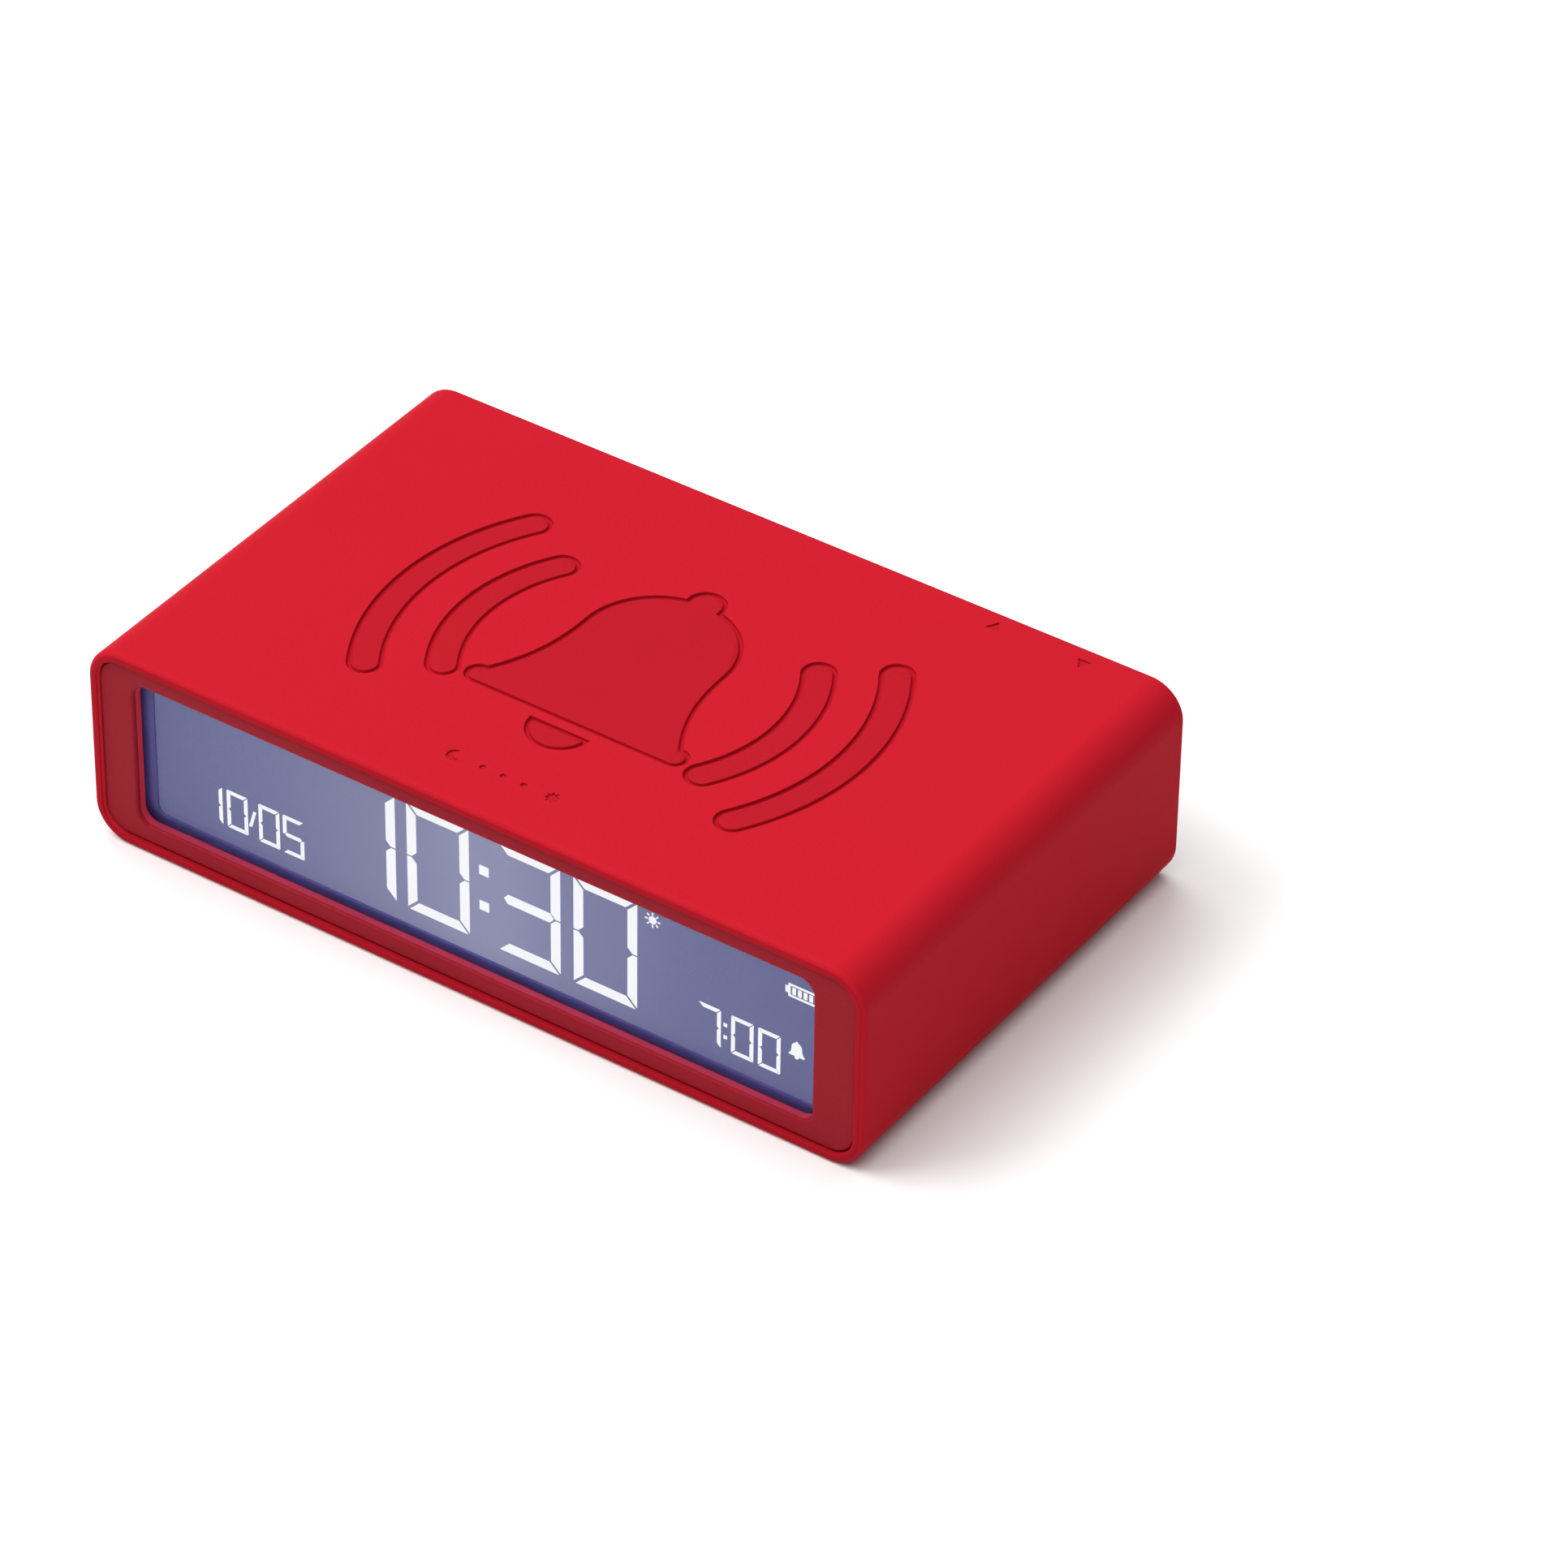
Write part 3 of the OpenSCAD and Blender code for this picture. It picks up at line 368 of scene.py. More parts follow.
def quarter(r, steps=5):
    """(outset, drop) pairs down a rounded edge of radius r, from the face to the wall."""
    turn = [math.pi / 2 * i / steps for i in range(steps + 1)]
    return [(r * (1 - math.sin(t)), r * (1 - math.cos(t))) for t in turn]


def press_in(bm, outline, depth, place, edge, finish):
    """A flat-floored shape pressed in with a soft edge; place(x, y, drop) puts a point.
    Returns the ring on the face."""
    toe = 0.5 * edge
    bend = ROUND_SHARE * toe
    stages = quarter(edge) + [(0, depth - toe), (-bend, depth - bend), (-toe, depth)]
    return sink(bm, outline, stages, place, (finish, finish), len(quarter(edge)))


def groove_round(bm, outline, place, finishes):
    """A shape outlined by a round-edged groove, its middle a hair lower than the face.
    finishes are the groove's and the middle's. Returns the ring on the face."""
    edge, toe = 0.07, 0.09
    edge_bend, toe_bend = ROUND_SHARE * edge, ROUND_SHARE * toe
    stages = quarter(edge) + [
        (0, GROOVE_DEPTH - toe), (-toe_bend, GROOVE_DEPTH - toe_bend), (-toe, GROOVE_DEPTH),
        (toe - GROOVE_W, GROOVE_DEPTH), (toe_bend - GROOVE_W, GROOVE_DEPTH - toe_bend),
        (-GROOVE_W, GROOVE_DEPTH - toe), (-GROOVE_W, MIDDLE_DROP + edge),
        (-GROOVE_W - edge_bend, MIDDLE_DROP + edge_bend), (-GROOVE_W - edge, MIDDLE_DROP)]
    return sink(bm, outline, stages, place, finishes, len(quarter(edge)))


def sink(bm, outline, stages, place, finishes, rim):
    """Follows stages of (outset, drop) down from the face; the first rim of them keep the face's finish."""
    rings = [ring(bm, grown(outline, outset), lambda x, y, depth=drop: place(x, y, depth))
             for outset, drop in stages]
    bands(bm, rings[:rim])
    bands(bm, rings[rim - 1:], finish=finishes[0])
    fill(bm, rings[-1], finish=finishes[1])
    return rings[0]


def xz(y):
    """Puts outline points on the plane at y, about the middle of the case."""
    return lambda u, v: (u, y, MID_Z + v)


def prism(bm, stages, outline_at):
    """Closed solid through stages of (outset, y); outline_at(outset) gives its outline there."""
    rings = [ring(bm, outline_at(outset), xz(y)) for outset, y in stages]
    bands(bm, rings)
    fill(bm, rings[0], flat=along_y)
    fill(bm, rings[-1], flat=along_y)


def lathe(bm, profile, x, steps=96):
    """Solid of revolution about a line along Y at x; profile is (radius, y) pairs from axis to axis."""
    on_axis = 1e-6
    rings = []
    for r, y in profile:
        if r < on_axis:
            rings.append([bm.verts.new((x, y, MID_Z))])
        else:
            rings.append(ring(bm, circle(x, 0, r, steps), xz(y)))
    for a, b in zip(rings, rings[1:]):
        if len(a) == 1 or len(b) == 1:
            tip, rim = (a[0], b) if len(a) == 1 else (b[0], a)
            for i in range(steps):
                bm.faces.new((tip, rim[i], rim[(i + 1) % steps]))
        else:
            band(bm, a, b)


def rounded(points, r, steps=3):
    """A profile of (radius, y) points with a rounding of radius r at every point between its ends."""
    longest = 0.45  # share of a side that one rounding may take
    out = [points[0]]
    for before, here, after in zip(points, points[1:], points[2:]):
        corner = Vector(here)
        back, ahead = Vector(before) - corner, Vector(after) - corner
        reach = min(r, longest * back.length, longest * ahead.length)
        start, end = corner + back.normalized() * reach, corner + ahead.normalized() * reach
        for i in range(steps + 1):
            t = i / steps
            point = start * (1 - t) ** 2 + corner * 2 * t * (1 - t) + end * t ** 2
            out.append((point.x, point.y))
    out.append(points[-1])
    return out


# ------------------------------------------------------------------ materials
NOISE_LOW, NOISE_HIGH = 0.3, 0.7    # between which nearly all of a noise's values lie


def new_material(name):
    """A new node material, with its nodes, its links and its Principled shader."""
    material = bpy.data.materials.new(name)
    material.use_nodes = True
    nodes, links = material.node_tree.nodes, material.node_tree.links
    return material, nodes, links, nodes["Principled BSDF"]


def darker(colour, factor):
    return tuple(c * factor for c in colour)


def noise(nodes, links, place, scale, detail=3.0, stretch=None):
    """Noise in the object's own metres; stretch scales it along X, Y and Z."""
    texture = nodes.new("ShaderNodeTexNoise")
    texture.inputs["Scale"].default_value = scale
    texture.inputs["Detail"].default_value = detail
    source = place
    if stretch:
        mapping = nodes.new("ShaderNodeMapping")
        mapping.inputs["Scale"].default_value = stretch
        links.new(place, mapping.inputs["Vector"])
        source = mapping.outputs["Vector"]
    links.new(source, texture.inputs["Vector"])
    return texture.outputs["Fac"]


def ramp(nodes, links, factor, stops):
    """Colour ramp over a factor; stops are (position, (r, g, b))."""
    node = nodes.new("ShaderNodeValToRGB")
    while len(node.color_ramp.elements) < len(stops):
        node.color_ramp.elements.new(0.5)
    for element, (position, colour) in zip(node.color_ramp.elements, stops):
        element.position = position
        element.color = (*colour, 1)
    links.new(factor, node.inputs["Fac"])
    return node.outputs["Color"]


def spread(nodes, links, factor, low, high):
    """A noise factor spread over low to high."""
    node = nodes.new("ShaderNodeMapRange")
    node.inputs["From Min"].default_value = NOISE_LOW
    node.inputs["From Max"].default_value = NOISE_HIGH
    node.inputs["To Min"].default_value = low
    node.inputs["To Max"].default_value = high
    links.new(factor, node.inputs["Value"])
    return node.outputs["Result"]


def set_sockets(shader, sockets):
    """Sets the shader's own constants, named with underscores for spaces."""
    for socket, value in sockets.items():
        shader.inputs[socket.replace("_", " ")].default_value = value


def along_object_x(nodes, links, start, end):
    """A factor that goes from 0 to 1 along the object's X axis, between two places in millimetres."""
    axes = nodes.new("ShaderNodeSeparateXYZ")
    links.new(nodes.new("ShaderNodeTexCoord").outputs["Object"], axes.inputs["Vector"])
    along = nodes.new("ShaderNodeMapRange")
    along.inputs["From Min"].default_value = start * MM
    along.inputs["From Max"].default_value = end * MM
    links.new(axes.outputs["X"], along.inputs["Value"])
    return along.outputs["Result"]


def surface(name, colour, vary, roughness, grain, patch=40, stretch=None, **sockets):
    """Moulded, coated or metal surface: slow colour and roughness patches and a fine grain in its relief.
    vary is the share by which the colour changes, patch and grain's first value are scales per metre, and
    grain's second is its relief in millimetres."""
    material, nodes, links, shader = new_material(name)
    place = nodes.new("ShaderNodeTexCoord").outputs["Object"]
    slow = noise(nodes, links, place, patch, stretch=stretch)
    low = [c * (1 - vary) for c in colour]
    high = [min(1.0, c * (1 + vary)) for c in colour]
    links.new(ramp(nodes, links, slow, [(NOISE_LOW, low), (NOISE_HIGH, high)]), shader.inputs["Base Color"])
    links.new(spread(nodes, links, noise(nodes, links, place, patch * 3, stretch=stretch), *roughness),
              shader.inputs["Roughness"])
    fine = noise(nodes, links, place, grain[0], detail=2.0, stretch=stretch)
    bump = nodes.new("ShaderNodeBump")
    bump.inputs["Distance"].default_value = grain[1] * MM
    bump.inputs["Strength"].default_value = 1.0
    links.new(fine, bump.inputs["Height"])
    links.new(bump.outputs["Normal"], shader.inputs["Normal"])
    set_sockets(shader, sockets)
    return material


def paint_light_left(material, colour, x, reach):
    """Painted light: turns a surface's colour to another one at x and to its left, and fades it over reach to
    the right.
    """
    nodes, links = material.node_tree.nodes, material.node_tree.links
    base = nodes["Principled BSDF"].inputs["Base Color"]
    mix = nodes.new("ShaderNodeMix")
    mix.data_type = "RGBA"
    factor, first, second = (next(i for i in mix.inputs if i.identifier == name)
                             for name in ("Factor_Float", "A_Color", "B_Color"))
    links.new(along_object_x(nodes, links, x, x + reach), factor)
    first.default_value = (*colour, 1)
    links.new(base.links[0].from_socket, second)
    links.new(next(o for o in mix.outputs if o.identifier == "Result_Color"), base)


def glowing(name, stops, **sockets):
    """Lit layer: emission colours from a ramp over the lit area, from its left end to its right end."""
    unlit = 0.25    # share of the lit colours that the layer has of its own
    material, nodes, links, shader = new_material(name)
    links.new(ramp(nodes, links, along_object_x(nodes, links, *LIT_AREA), stops),
              shader.inputs["Emission Color"])
    shader.inputs["Emission Strength"].default_value = 1.0
    place = nodes.new("ShaderNodeTexCoord").outputs["Object"]
    tints = [(at, darker(colour, unlit))
             for at, colour in ((NOISE_LOW, stops[0][1]), (NOISE_HIGH, stops[-1][1]))]
    links.new(ramp(nodes, links, noise(nodes, links, place, 60), tints), shader.inputs["Base Color"])
    set_sockets(shader, sockets)
    return material


def clear(name, tint, roughness, **sockets):
    """Clear plastic or glass with faint smears in its gloss."""
    material, nodes, links, shader = new_material(name)
    place = nodes.new("ShaderNodeTexCoord").outputs["Object"]
    smear = noise(nodes, links, place, 90)
    links.new(spread(nodes, links, smear, *roughness), shader.inputs["Roughness"])
    links.new(ramp(nodes, links, smear, [(NOISE_LOW, darker(tint, 0.985)), (NOISE_HIGH, tint)]),
              shader.inputs["Base Color"])
    set_sockets(shader, sockets)
    return material


def circuit_board():
    """Green solder mask with copper traces showing through as slightly lighter paths."""
    looks = {"Scale": 260, "Mortar Size": 0.035, "Color1": (0.010, 0.072, 0.040, 1),
             "Color2": (0.012, 0.085, 0.046, 1), "Mortar": (0.030, 0.150, 0.075, 1)}
    material, nodes, links, shader = new_material("circuit_board")
    place = nodes.new("ShaderNodeTexCoord").outputs["Object"]
    bricks = nodes.new("ShaderNodeTexBrick")
    for socket, value in looks.items():
        bricks.inputs[socket].default_value = value
    turn = nodes.new("ShaderNodeMapping")
    turn.inputs["Rotation"].default_value = (math.pi / 2, 0, 0)
    links.new(place, turn.inputs["Vector"])
    links.new(turn.outputs["Vector"], bricks.inputs["Vector"])
    links.new(bricks.outputs["Color"], shader.inputs["Base Color"])
    links.new(spread(nodes, links, noise(nodes, links, place, 300), 0.28, 0.42), shader.inputs["Roughness"])
    bump = nodes.new("ShaderNodeBump")
    bump.inputs["Distance"].default_value = 0.02 * MM
    links.new(bricks.outputs["Fac"], bump.inputs["Height"])
    links.new(bump.outputs["Normal"], shader.inputs["Normal"])
    return material


def contact_film():
    """Amber film with lengthwise copper tracks."""
    material, nodes, links, shader = new_material("ribbon_film")
    place = nodes.new("ShaderNodeTexCoord").outputs["Object"]
    stripes = nodes.new("ShaderNodeTexWave")
    stripes.bands_direction = "Z"
    stripes.inputs["Scale"].default_value = 600
    links.new(place, stripes.inputs["Vector"])
    amber, track = (0.42, 0.13, 0.02), (0.60, 0.24, 0.06)
    links.new(ramp(nodes, links, stripes.outputs["Fac"], [(0.35, amber), (0.65, track)]),
              shader.inputs["Base Color"])
    links.new(spread(nodes, links, stripes.outputs["Fac"], 0.30, 0.42), shader.inputs["Roughness"])
    return material


def glow(extra):
    """Colour of the lit area where it is brighter than at its left end by extra; the extra, the same in all
    three channels, is a painted reflection of the white floor on the lens.
    """
    return tuple(c + extra for c in GLOW_EDGE)


COAT_RED = (0.450, 0.0094, 0.0200)
PLASTIC_RED = (0.278, 0.0092, 0.0185)
GLOW_EDGE = (0.096, 0.100, 0.232)   # of the lit area at its left end, where the painted reflection is least
LIT_AREA = (-36, 37)                # left and right end of the display's glow
FIGURE_WHITE = (0.80, 0.81, 0.83)
WINDOW_LEFT = WINDOW_X - WINDOW_W / 2

coat = surface("case_coating", COAT_RED, vary=0.012, patch=25, roughness=(0.52, 0.60),
               grain=(7000, 0.012), Specular_IOR_Level=0.02)
middle_coat = surface("case_coating_middle", darker(COAT_RED, 0.86), vary=0.02, patch=120,
                      roughness=(0.44, 0.52), grain=(11000, 0.008), Specular_IOR_Level=0.02)
# Painted shade: the groove's coat is darker than the coat, standing in for the shade inside the narrow
# groove.
groove_coat_painted_shade = surface("case_coating_groove_painted_shade", darker(COAT_RED, 0.88), vary=0.03, patch=120,
                      roughness=(0.50, 0.60), grain=(11000, 0.008), Specular_IOR_Level=0.0)
# Painted shade: the forward-facing lip at both ends of the sleeve is painted darker than the coat.
lip_coat_painted_shade = surface("case_coating_lip_painted_shade", darker(COAT_RED, 0.8), vary=0.02, patch=60,
                   roughness=(0.52, 0.60), grain=(7000, 0.012), Specular_IOR_Level=0.02)
# Painted shade and light: the lip's inner wall is painted darker than the coat, and painted much lighter at
# the case's left side, fading out over the inner corner.
wall_coat_painted_shade_and_light = surface("case_coating_wall_painted_shade_and_light", darker(COAT_RED, 0.8), vary=0.02, patch=60,
                    roughness=(0.52, 0.60), grain=(7000, 0.012), Specular_IOR_Level=0.02)
paint_light_left(wall_coat_painted_shade_and_light, (0.85, 0.030, 0.055), LIP_T - HALF_W, CORNER_R - LIP_T)
key_rubber = surface("key_rubber", darker(COAT_RED, 0.95), vary=0.02, patch=160,
                     roughness=(0.50, 0.60), grain=(9000, 0.012), Specular_IOR_Level=0.06)
panel_plastic = surface("panel_plastic", PLASTIC_RED, vary=0.03, patch=60,
                        roughness=(0.36, 0.46), grain=(5200, 0.016), Specular_IOR_Level=0.05)
# Painted light: the window's wall and the lens rebate behind it are painted lighter than the bezel, and
# lighter still at the window's left end.
rim_plastic_painted_light = surface("rim_plastic_painted_light", (0.38, 0.032, 0.070), vary=0.03, patch=60,
                      roughness=(0.36, 0.46), grain=(5200, 0.010), Specular_IOR_Level=0.05)
paint_light_left(rim_plastic_painted_light, (0.76, 0.045, 0.085), WINDOW_LEFT, WINDOW_R)
lens_clear = clear("lens_clear", (0.985, 0.988, 0.995), (0.012, 0.035), Transmission_Weight=1.0, IOR=1.18)
display_glass = clear("display_glass", (0.90, 0.92, 1.0), (0.02, 0.04), Alpha=0.002)
# The backlight's blue glow, with a painted reflection of the white floor on the lens added as an even grey
# that is strongest in the middle of the lit area.
display_back_glow_and_painted_reflection = glowing("display_back_glow_and_painted_reflection",
                       [(0.0, glow(0.0)), (0.21, glow(0.050)), (0.37, glow(0.100)), (0.465, glow(0.142)),
                        (0.52, glow(0.142)), (0.615, glow(0.083)), (0.78, glow(0.030)), (1.0, glow(0.004))],
                       Roughness=0.4, Specular_IOR_Level=0.0)
display_figures = glowing("display_figures", [(0.0, FIGURE_WHITE), (1.0, FIGURE_WHITE)],
                          Roughness=0.5, Specular_IOR_Level=0.0)
mask_blue = surface("mask_blue", (0.118, 0.110, 0.400), vary=0.04, patch=200,
                    roughness=(0.45, 0.55), grain=(9000, 0.005), Specular_IOR_Level=0.1)
white_plastic = surface("white_plastic", (0.72, 0.72, 0.69), vary=0.03,
                        roughness=(0.40, 0.52), grain=(6000, 0.01))
clear_plastic = clear("clear_plastic", (0.93, 0.95, 0.97), (0.06, 0.14), Transmission_Weight=0.85, IOR=1.49)
black_plastic = surface("black_plastic", (0.018, 0.018, 0.020), vary=0.12,
                        roughness=(0.38, 0.50), grain=(5200, 0.015))
foam = surface("foam", (0.030, 0.030, 0.033), vary=0.25, patch=700,
               roughness=(0.85, 0.95), grain=(2600, 0.10), Specular_IOR_Level=0.15)
steel = surface("steel", (0.62, 0.63, 0.65), vary=0.05, patch=400,
                roughness=(0.22, 0.34), grain=(9000, 0.004), stretch=(1, 0.15, 1), Metallic=1.0)
copper = surface("copper", (0.86, 0.50, 0.26), vary=0.07, patch=300,
                 roughness=(0.20, 0.34), grain=(8000, 0.003), Metallic=1.0)
gold = surface("contact_gold", (0.93, 0.66, 0.27), vary=0.05, patch=500,
               roughness=(0.16, 0.28), grain=(9000, 0.003), Metallic=1.0)
cell_foil = surface("cell_foil", (0.60, 0.61, 0.63), vary=0.06, patch=180,
                    roughness=(0.28, 0.46), grain=(900, 0.05), Metallic=0.85)
wire_red = surface("wire_red", (0.50, 0.012, 0.010), vary=0.06, patch=300,
                   roughness=(0.34, 0.44), grain=(5000, 0.01))
wire_black = surface("wire_black", (0.016, 0.016, 0.018), vary=0.15, patch=300,
                     roughness=(0.34, 0.44), grain=(5000, 0.01))
chip_black = surface("chip_black", (0.022, 0.022, 0.024), vary=0.10, patch=500,
                     roughness=(0.55, 0.70), grain=(14000, 0.01))
socket_cream = surface("socket_cream", (0.66, 0.60, 0.44), vary=0.04, patch=300,
                       roughness=(0.40, 0.50), grain=(6000, 0.01))
reflector_white = surface("reflector_white", (0.86, 0.86, 0.85), vary=0.02,
                          roughness=(0.25, 0.35), grain=(9000, 0.004))
part_tan = surface("part_tan", (0.42, 0.30, 0.18), vary=0.10, patch=900,
                   roughness=(0.40, 0.55), grain=(9000, 0.01))
board = circuit_board()
film = contact_film()

# ------------------------------------------------------------------ sleeve
STEPS = 16          # in every long corner
RIGHT_FLAT, TOP_FLAT, LEFT_FLAT, BOTTOM_FLAT = [STEPS + k * (STEPS + 1) for k in range(4)]
SEAT_REAR = HALF_D - panel_low.y
MIDDLE, GROOVE, LIP, WALL = 1, 2, 3, 4      # finishes of the sleeve, after the coat itself; the groove's and the lip's are painted shade, the wall's painted shade with painted light at the left
OUTER_STEPS, LIP_STEPS = 7, 3               # in the outer and inner roundings of an end
LIP_START = OUTER_STEPS - 2                 # rings of sleeve_end() between which its surface faces forwards
LIP_END = OUTER_STEPS + LIP_STEPS + 1


def sleeve_ring(bm, inset, y):
    outline = round_rect(2 * (HALF_W - inset), CASE_H - 2 * inset, CORNER_R - inset, STEPS)
    return ring(bm, outline, xz(y))


def sleeve_end(place, seat):
    """(inset, y) down one end of the sleeve, from the outside over the rounded edge and lip to the cavity."""
    lip_edge_r = 0.12
    outer_edge = [(outset, place(drop)) for outset, drop in reversed(quarter(EDGE_R, OUTER_STEPS))]
    lip_edge = [(LIP_T - outset, place(drop)) for outset, drop in quarter(lip_edge_r, LIP_STEPS)]
    return outer_edge + lip_edge + [(LIP_T, place(seat)), (WALL_T, place(seat))]


def wall_flat(a, b, flat_index):
    """The four corners of one flat side between two rings."""
    i, j = flat_index, (flat_index + 1) % len(a)
    return [a[i], a[j], b[j], b[i]]


def on_top(dy):
    return lambda x, y, drop: (x, y + dy, CASE_H - drop)


def underneath(dy):
    return lambda x, y, drop: (-x, y + dy, drop)


def shell_signs(bm, place_at, big_sign):
    """Rings on the face of every sign in the top or the underside."""
    edge = 0.05
    # the groove around the bell takes the groove's painted shade
    rings = [groove_round(bm, outline, place_at(EMBLEM_Y), (GROOVE, MIDDLE)) for outline in big_sign]
    for outlines, place in ((touch_sign(), place_at(TOUCH_SIGN_Y)), (key_signs(), place_at(0))):
        rings += [press_in(bm, outline, SMALL_SIGN_DEPTH, place, edge, MIDDLE) for outline in outlines]
    return rings


def hook_pocket(bm, side, z):
    """Pocket for one of the bezel's hooks in the inside of the sleeve's side wall: returns its mouth."""
    inner, deep = side * (HALF_W - WALL_T), side * (HALF_W - WALL_T + POCKET_DEPTH)
    y0, y1, z0, z1 = front(POCKET_START), front(POCKET_END), z - POCKET_HALF_H, z + POCKET_HALF_H
    corners = [(y0, z0), (y1, z0), (y1, z1), (y0, z1)]
    mouth = [bm.verts.new((inner, y, MID_Z + v)) for y, v in corners]
    floor = [bm.verts.new((deep, y, MID_Z + v)) for y, v in corners]
    band(bm, mouth, floor)
    bm.faces.new(floor)
    return mouth


def make_sleeve():
    """Outside, lips and cavity of the sleeve, with its signs and the pockets for the hooks."""
    bm = bmesh.new()
    front_rings = [sleeve_ring(bm, inset, y) for inset, y in sleeve_end(front, BEZEL_BACK)]
    rear_rings = [sleeve_ring(bm, inset, y) for inset, y in sleeve_end(rear, SEAT_REAR)]
    for rings in (front_rings, rear_rings):
        bands(bm, rings[:LIP_START + 1])
        # the forward-facing lip takes the lip's painted shade
        bands(bm, rings[LIP_START:LIP_END + 1], finish=LIP)
        # the lip's inner wall takes the wall's painted shade, with painted light at the left
        bands(bm, rings[LIP_END:LIP_END + 2], finish=WALL)
        bands(bm, rings[LIP_END + 1:])
    outside = (front_rings[0], rear_rings[0])
    inside = (front_rings[-1], rear_rings[-1])
    band(bm, *outside, skip=(TOP_FLAT, BOTTOM_FLAT))
    band(bm, *inside, skip=(RIGHT_FLAT, LEFT_FLAT))
    fill(bm, wall_flat(*outside, TOP_FLAT), shell_signs(bm, on_top, bell(BELL_H) + sound_waves(BELL_H)))
    fill(bm, wall_flat(*outside, BOTTOM_FLAT), shell_signs(bm, underneath, crossed_bell(BELL_H)))
    for side, flat_index in ((1, RIGHT_FLAT), (-1, LEFT_FLAT)):
        pockets = [hook_pocket(bm, side, z) for z in (-HOOK_Z, HOOK_Z)]
        fill(bm, wall_flat(*inside, flat_index), pockets, flat=along_x)
    new_piece("sleeve_shell", bm, [coat, middle_coat, groove_coat_painted_shade, lip_coat_painted_shade, wall_coat_painted_shade_and_light],
              replaces=["case_sleeve"])


# ------------------------------------------------------------------ front bezel and lens
def panel_outline(inset):
    w, h = panel_high.x - panel_low.x, panel_high.z - panel_low.z
    return round_rect(w - 2 * inset, h - 2 * inset, PANEL_R - inset, STEPS)


def window_outline(outset):
    """The window grown by outset; its corners' radius grows too, up to a limit."""
    most = 0.5
    r = WINDOW_R + min(outset, most)
    return moved(round_rect(WINDOW_W + 2 * outset, WINDOW_H + 2 * outset, r, STEPS), WINDOW_X, 0)


def hook(bm, side, z):
    """Springy hook behind the bezel, with a barb that snaps into the sleeve."""
    inner, x = HALF_W - WALL_T - HOOK_GAP - HOOK_T, HALF_W - WALL_T - HOOK_GAP
    root, catch, tip = BEZEL_BACK - 0.4, POCKET_START + 0.2, POCKET_END - 0.3
    barb = [(x, catch), (x + HOOK_BARB, catch + 0.1), (x + HOOK_BARB, catch + 0.3), (x, tip)]
    outline = [(inner, root), (x, root), *barb, (inner, tip)]
    ends = [[bm.verts.new((side * u, front(s), MID_Z + z + dz)) for u, s in outline]
            for dz in (-HOOK_HALF_H, HOOK_HALF_H)]
    band(bm, *ends)
    for end in ends:
        bm.faces.new(end)


def make_bezel():
    """Plate with the window, a rebate for the lens behind it, and four hooks."""
    bm = bmesh.new()
    face = HALF_D + bezel_low.y
    lens_gap, lens_play = 0.15, 0.01
    window_edge_r, window_edge_steps = 0.35, 6
    rebate = LENS_OVERLAP + lens_gap
    rebate_s = HALF_D + lens_low.y - lens_play
    outer = [(outset, face + drop) for outset, drop in quarter(PANEL_EDGE_R)]
    outer_rings = [ring(bm, panel_outline(inset), xz(front(s))) for inset, s in outer + [(0, BEZEL_BACK)]]
    inner = [(outset, face + drop) for outset, drop in quarter(window_edge_r, window_edge_steps)]
    inner += [(0, rebate_s), (rebate, rebate_s), (rebate, BEZEL_BACK)]
    inner_rings = [ring(bm, window_outline(outset), xz(front(s))) for outset, s in inner]
    bands(bm, outer_rings)
    bands(bm, inner_rings[:window_edge_steps + 1])
    # the window's wall and rebate take the bezel's second material, with its painted light
    bands(bm, inner_rings[window_edge_steps:], finish=1)
    band(bm, outer_rings[0], inner_rings[0])
    band(bm, outer_rings[-1], inner_rings[-1])
    for side in (-1, 1):
        for z in (-HOOK_Z, HOOK_Z):
            hook(bm, side, z)
    new_piece("bezel_shell", bm, [panel_plastic, rim_plastic_painted_light], replaces=["front_bezel"])


def make_lens():
    """Clear pane with a small bevel, in the bezel's rebate."""
    bm = bmesh.new()
    bevel, rear_gap = 0.06, 0.02
    y0, y1 = lens_low.y, lens_high.y - rear_gap
    stages = [(LENS_OVERLAP - bevel, y0), (LENS_OVERLAP, y0 + bevel),
              (LENS_OVERLAP, y1 - bevel), (LENS_OVERLAP - bevel, y1)]
    prism(bm, stages, window_outline)
    new_piece("lens_pane", bm, [lens_clear], replaces=["display_lens"])


# ------------------------------------------------------------------ rear cover and what shows in it
key_names = ("key_left_outer", "key_left_inner", "key_right_inner", "key_right_outer")
key_boxes = [node_box(name) for name in key_names]
key_places = [(low.x + high.x) / 2 for low, high in key_boxes]
screw_low, screw_high = node_box("panel_screws")
SCREW_HEAD_D = screw_high.z - screw_low.z
SCREW_X = screw_high.x - SCREW_HEAD_D / 2
pipe_low, pipe_high = node_box("light_pipe")
PIPE_X = (pipe_low.x + pipe_high.x) / 2
sounder_low, sounder_high = node_box("sounder_frame")
SOUNDER_X = (sounder_low.x + sounder_high.x) / 2
port_low, port_high = node_box("usb_shell")
tongue_low, tongue_high = node_box("usb_tongue")
PANEL_T = panel_high.y - panel_low.y


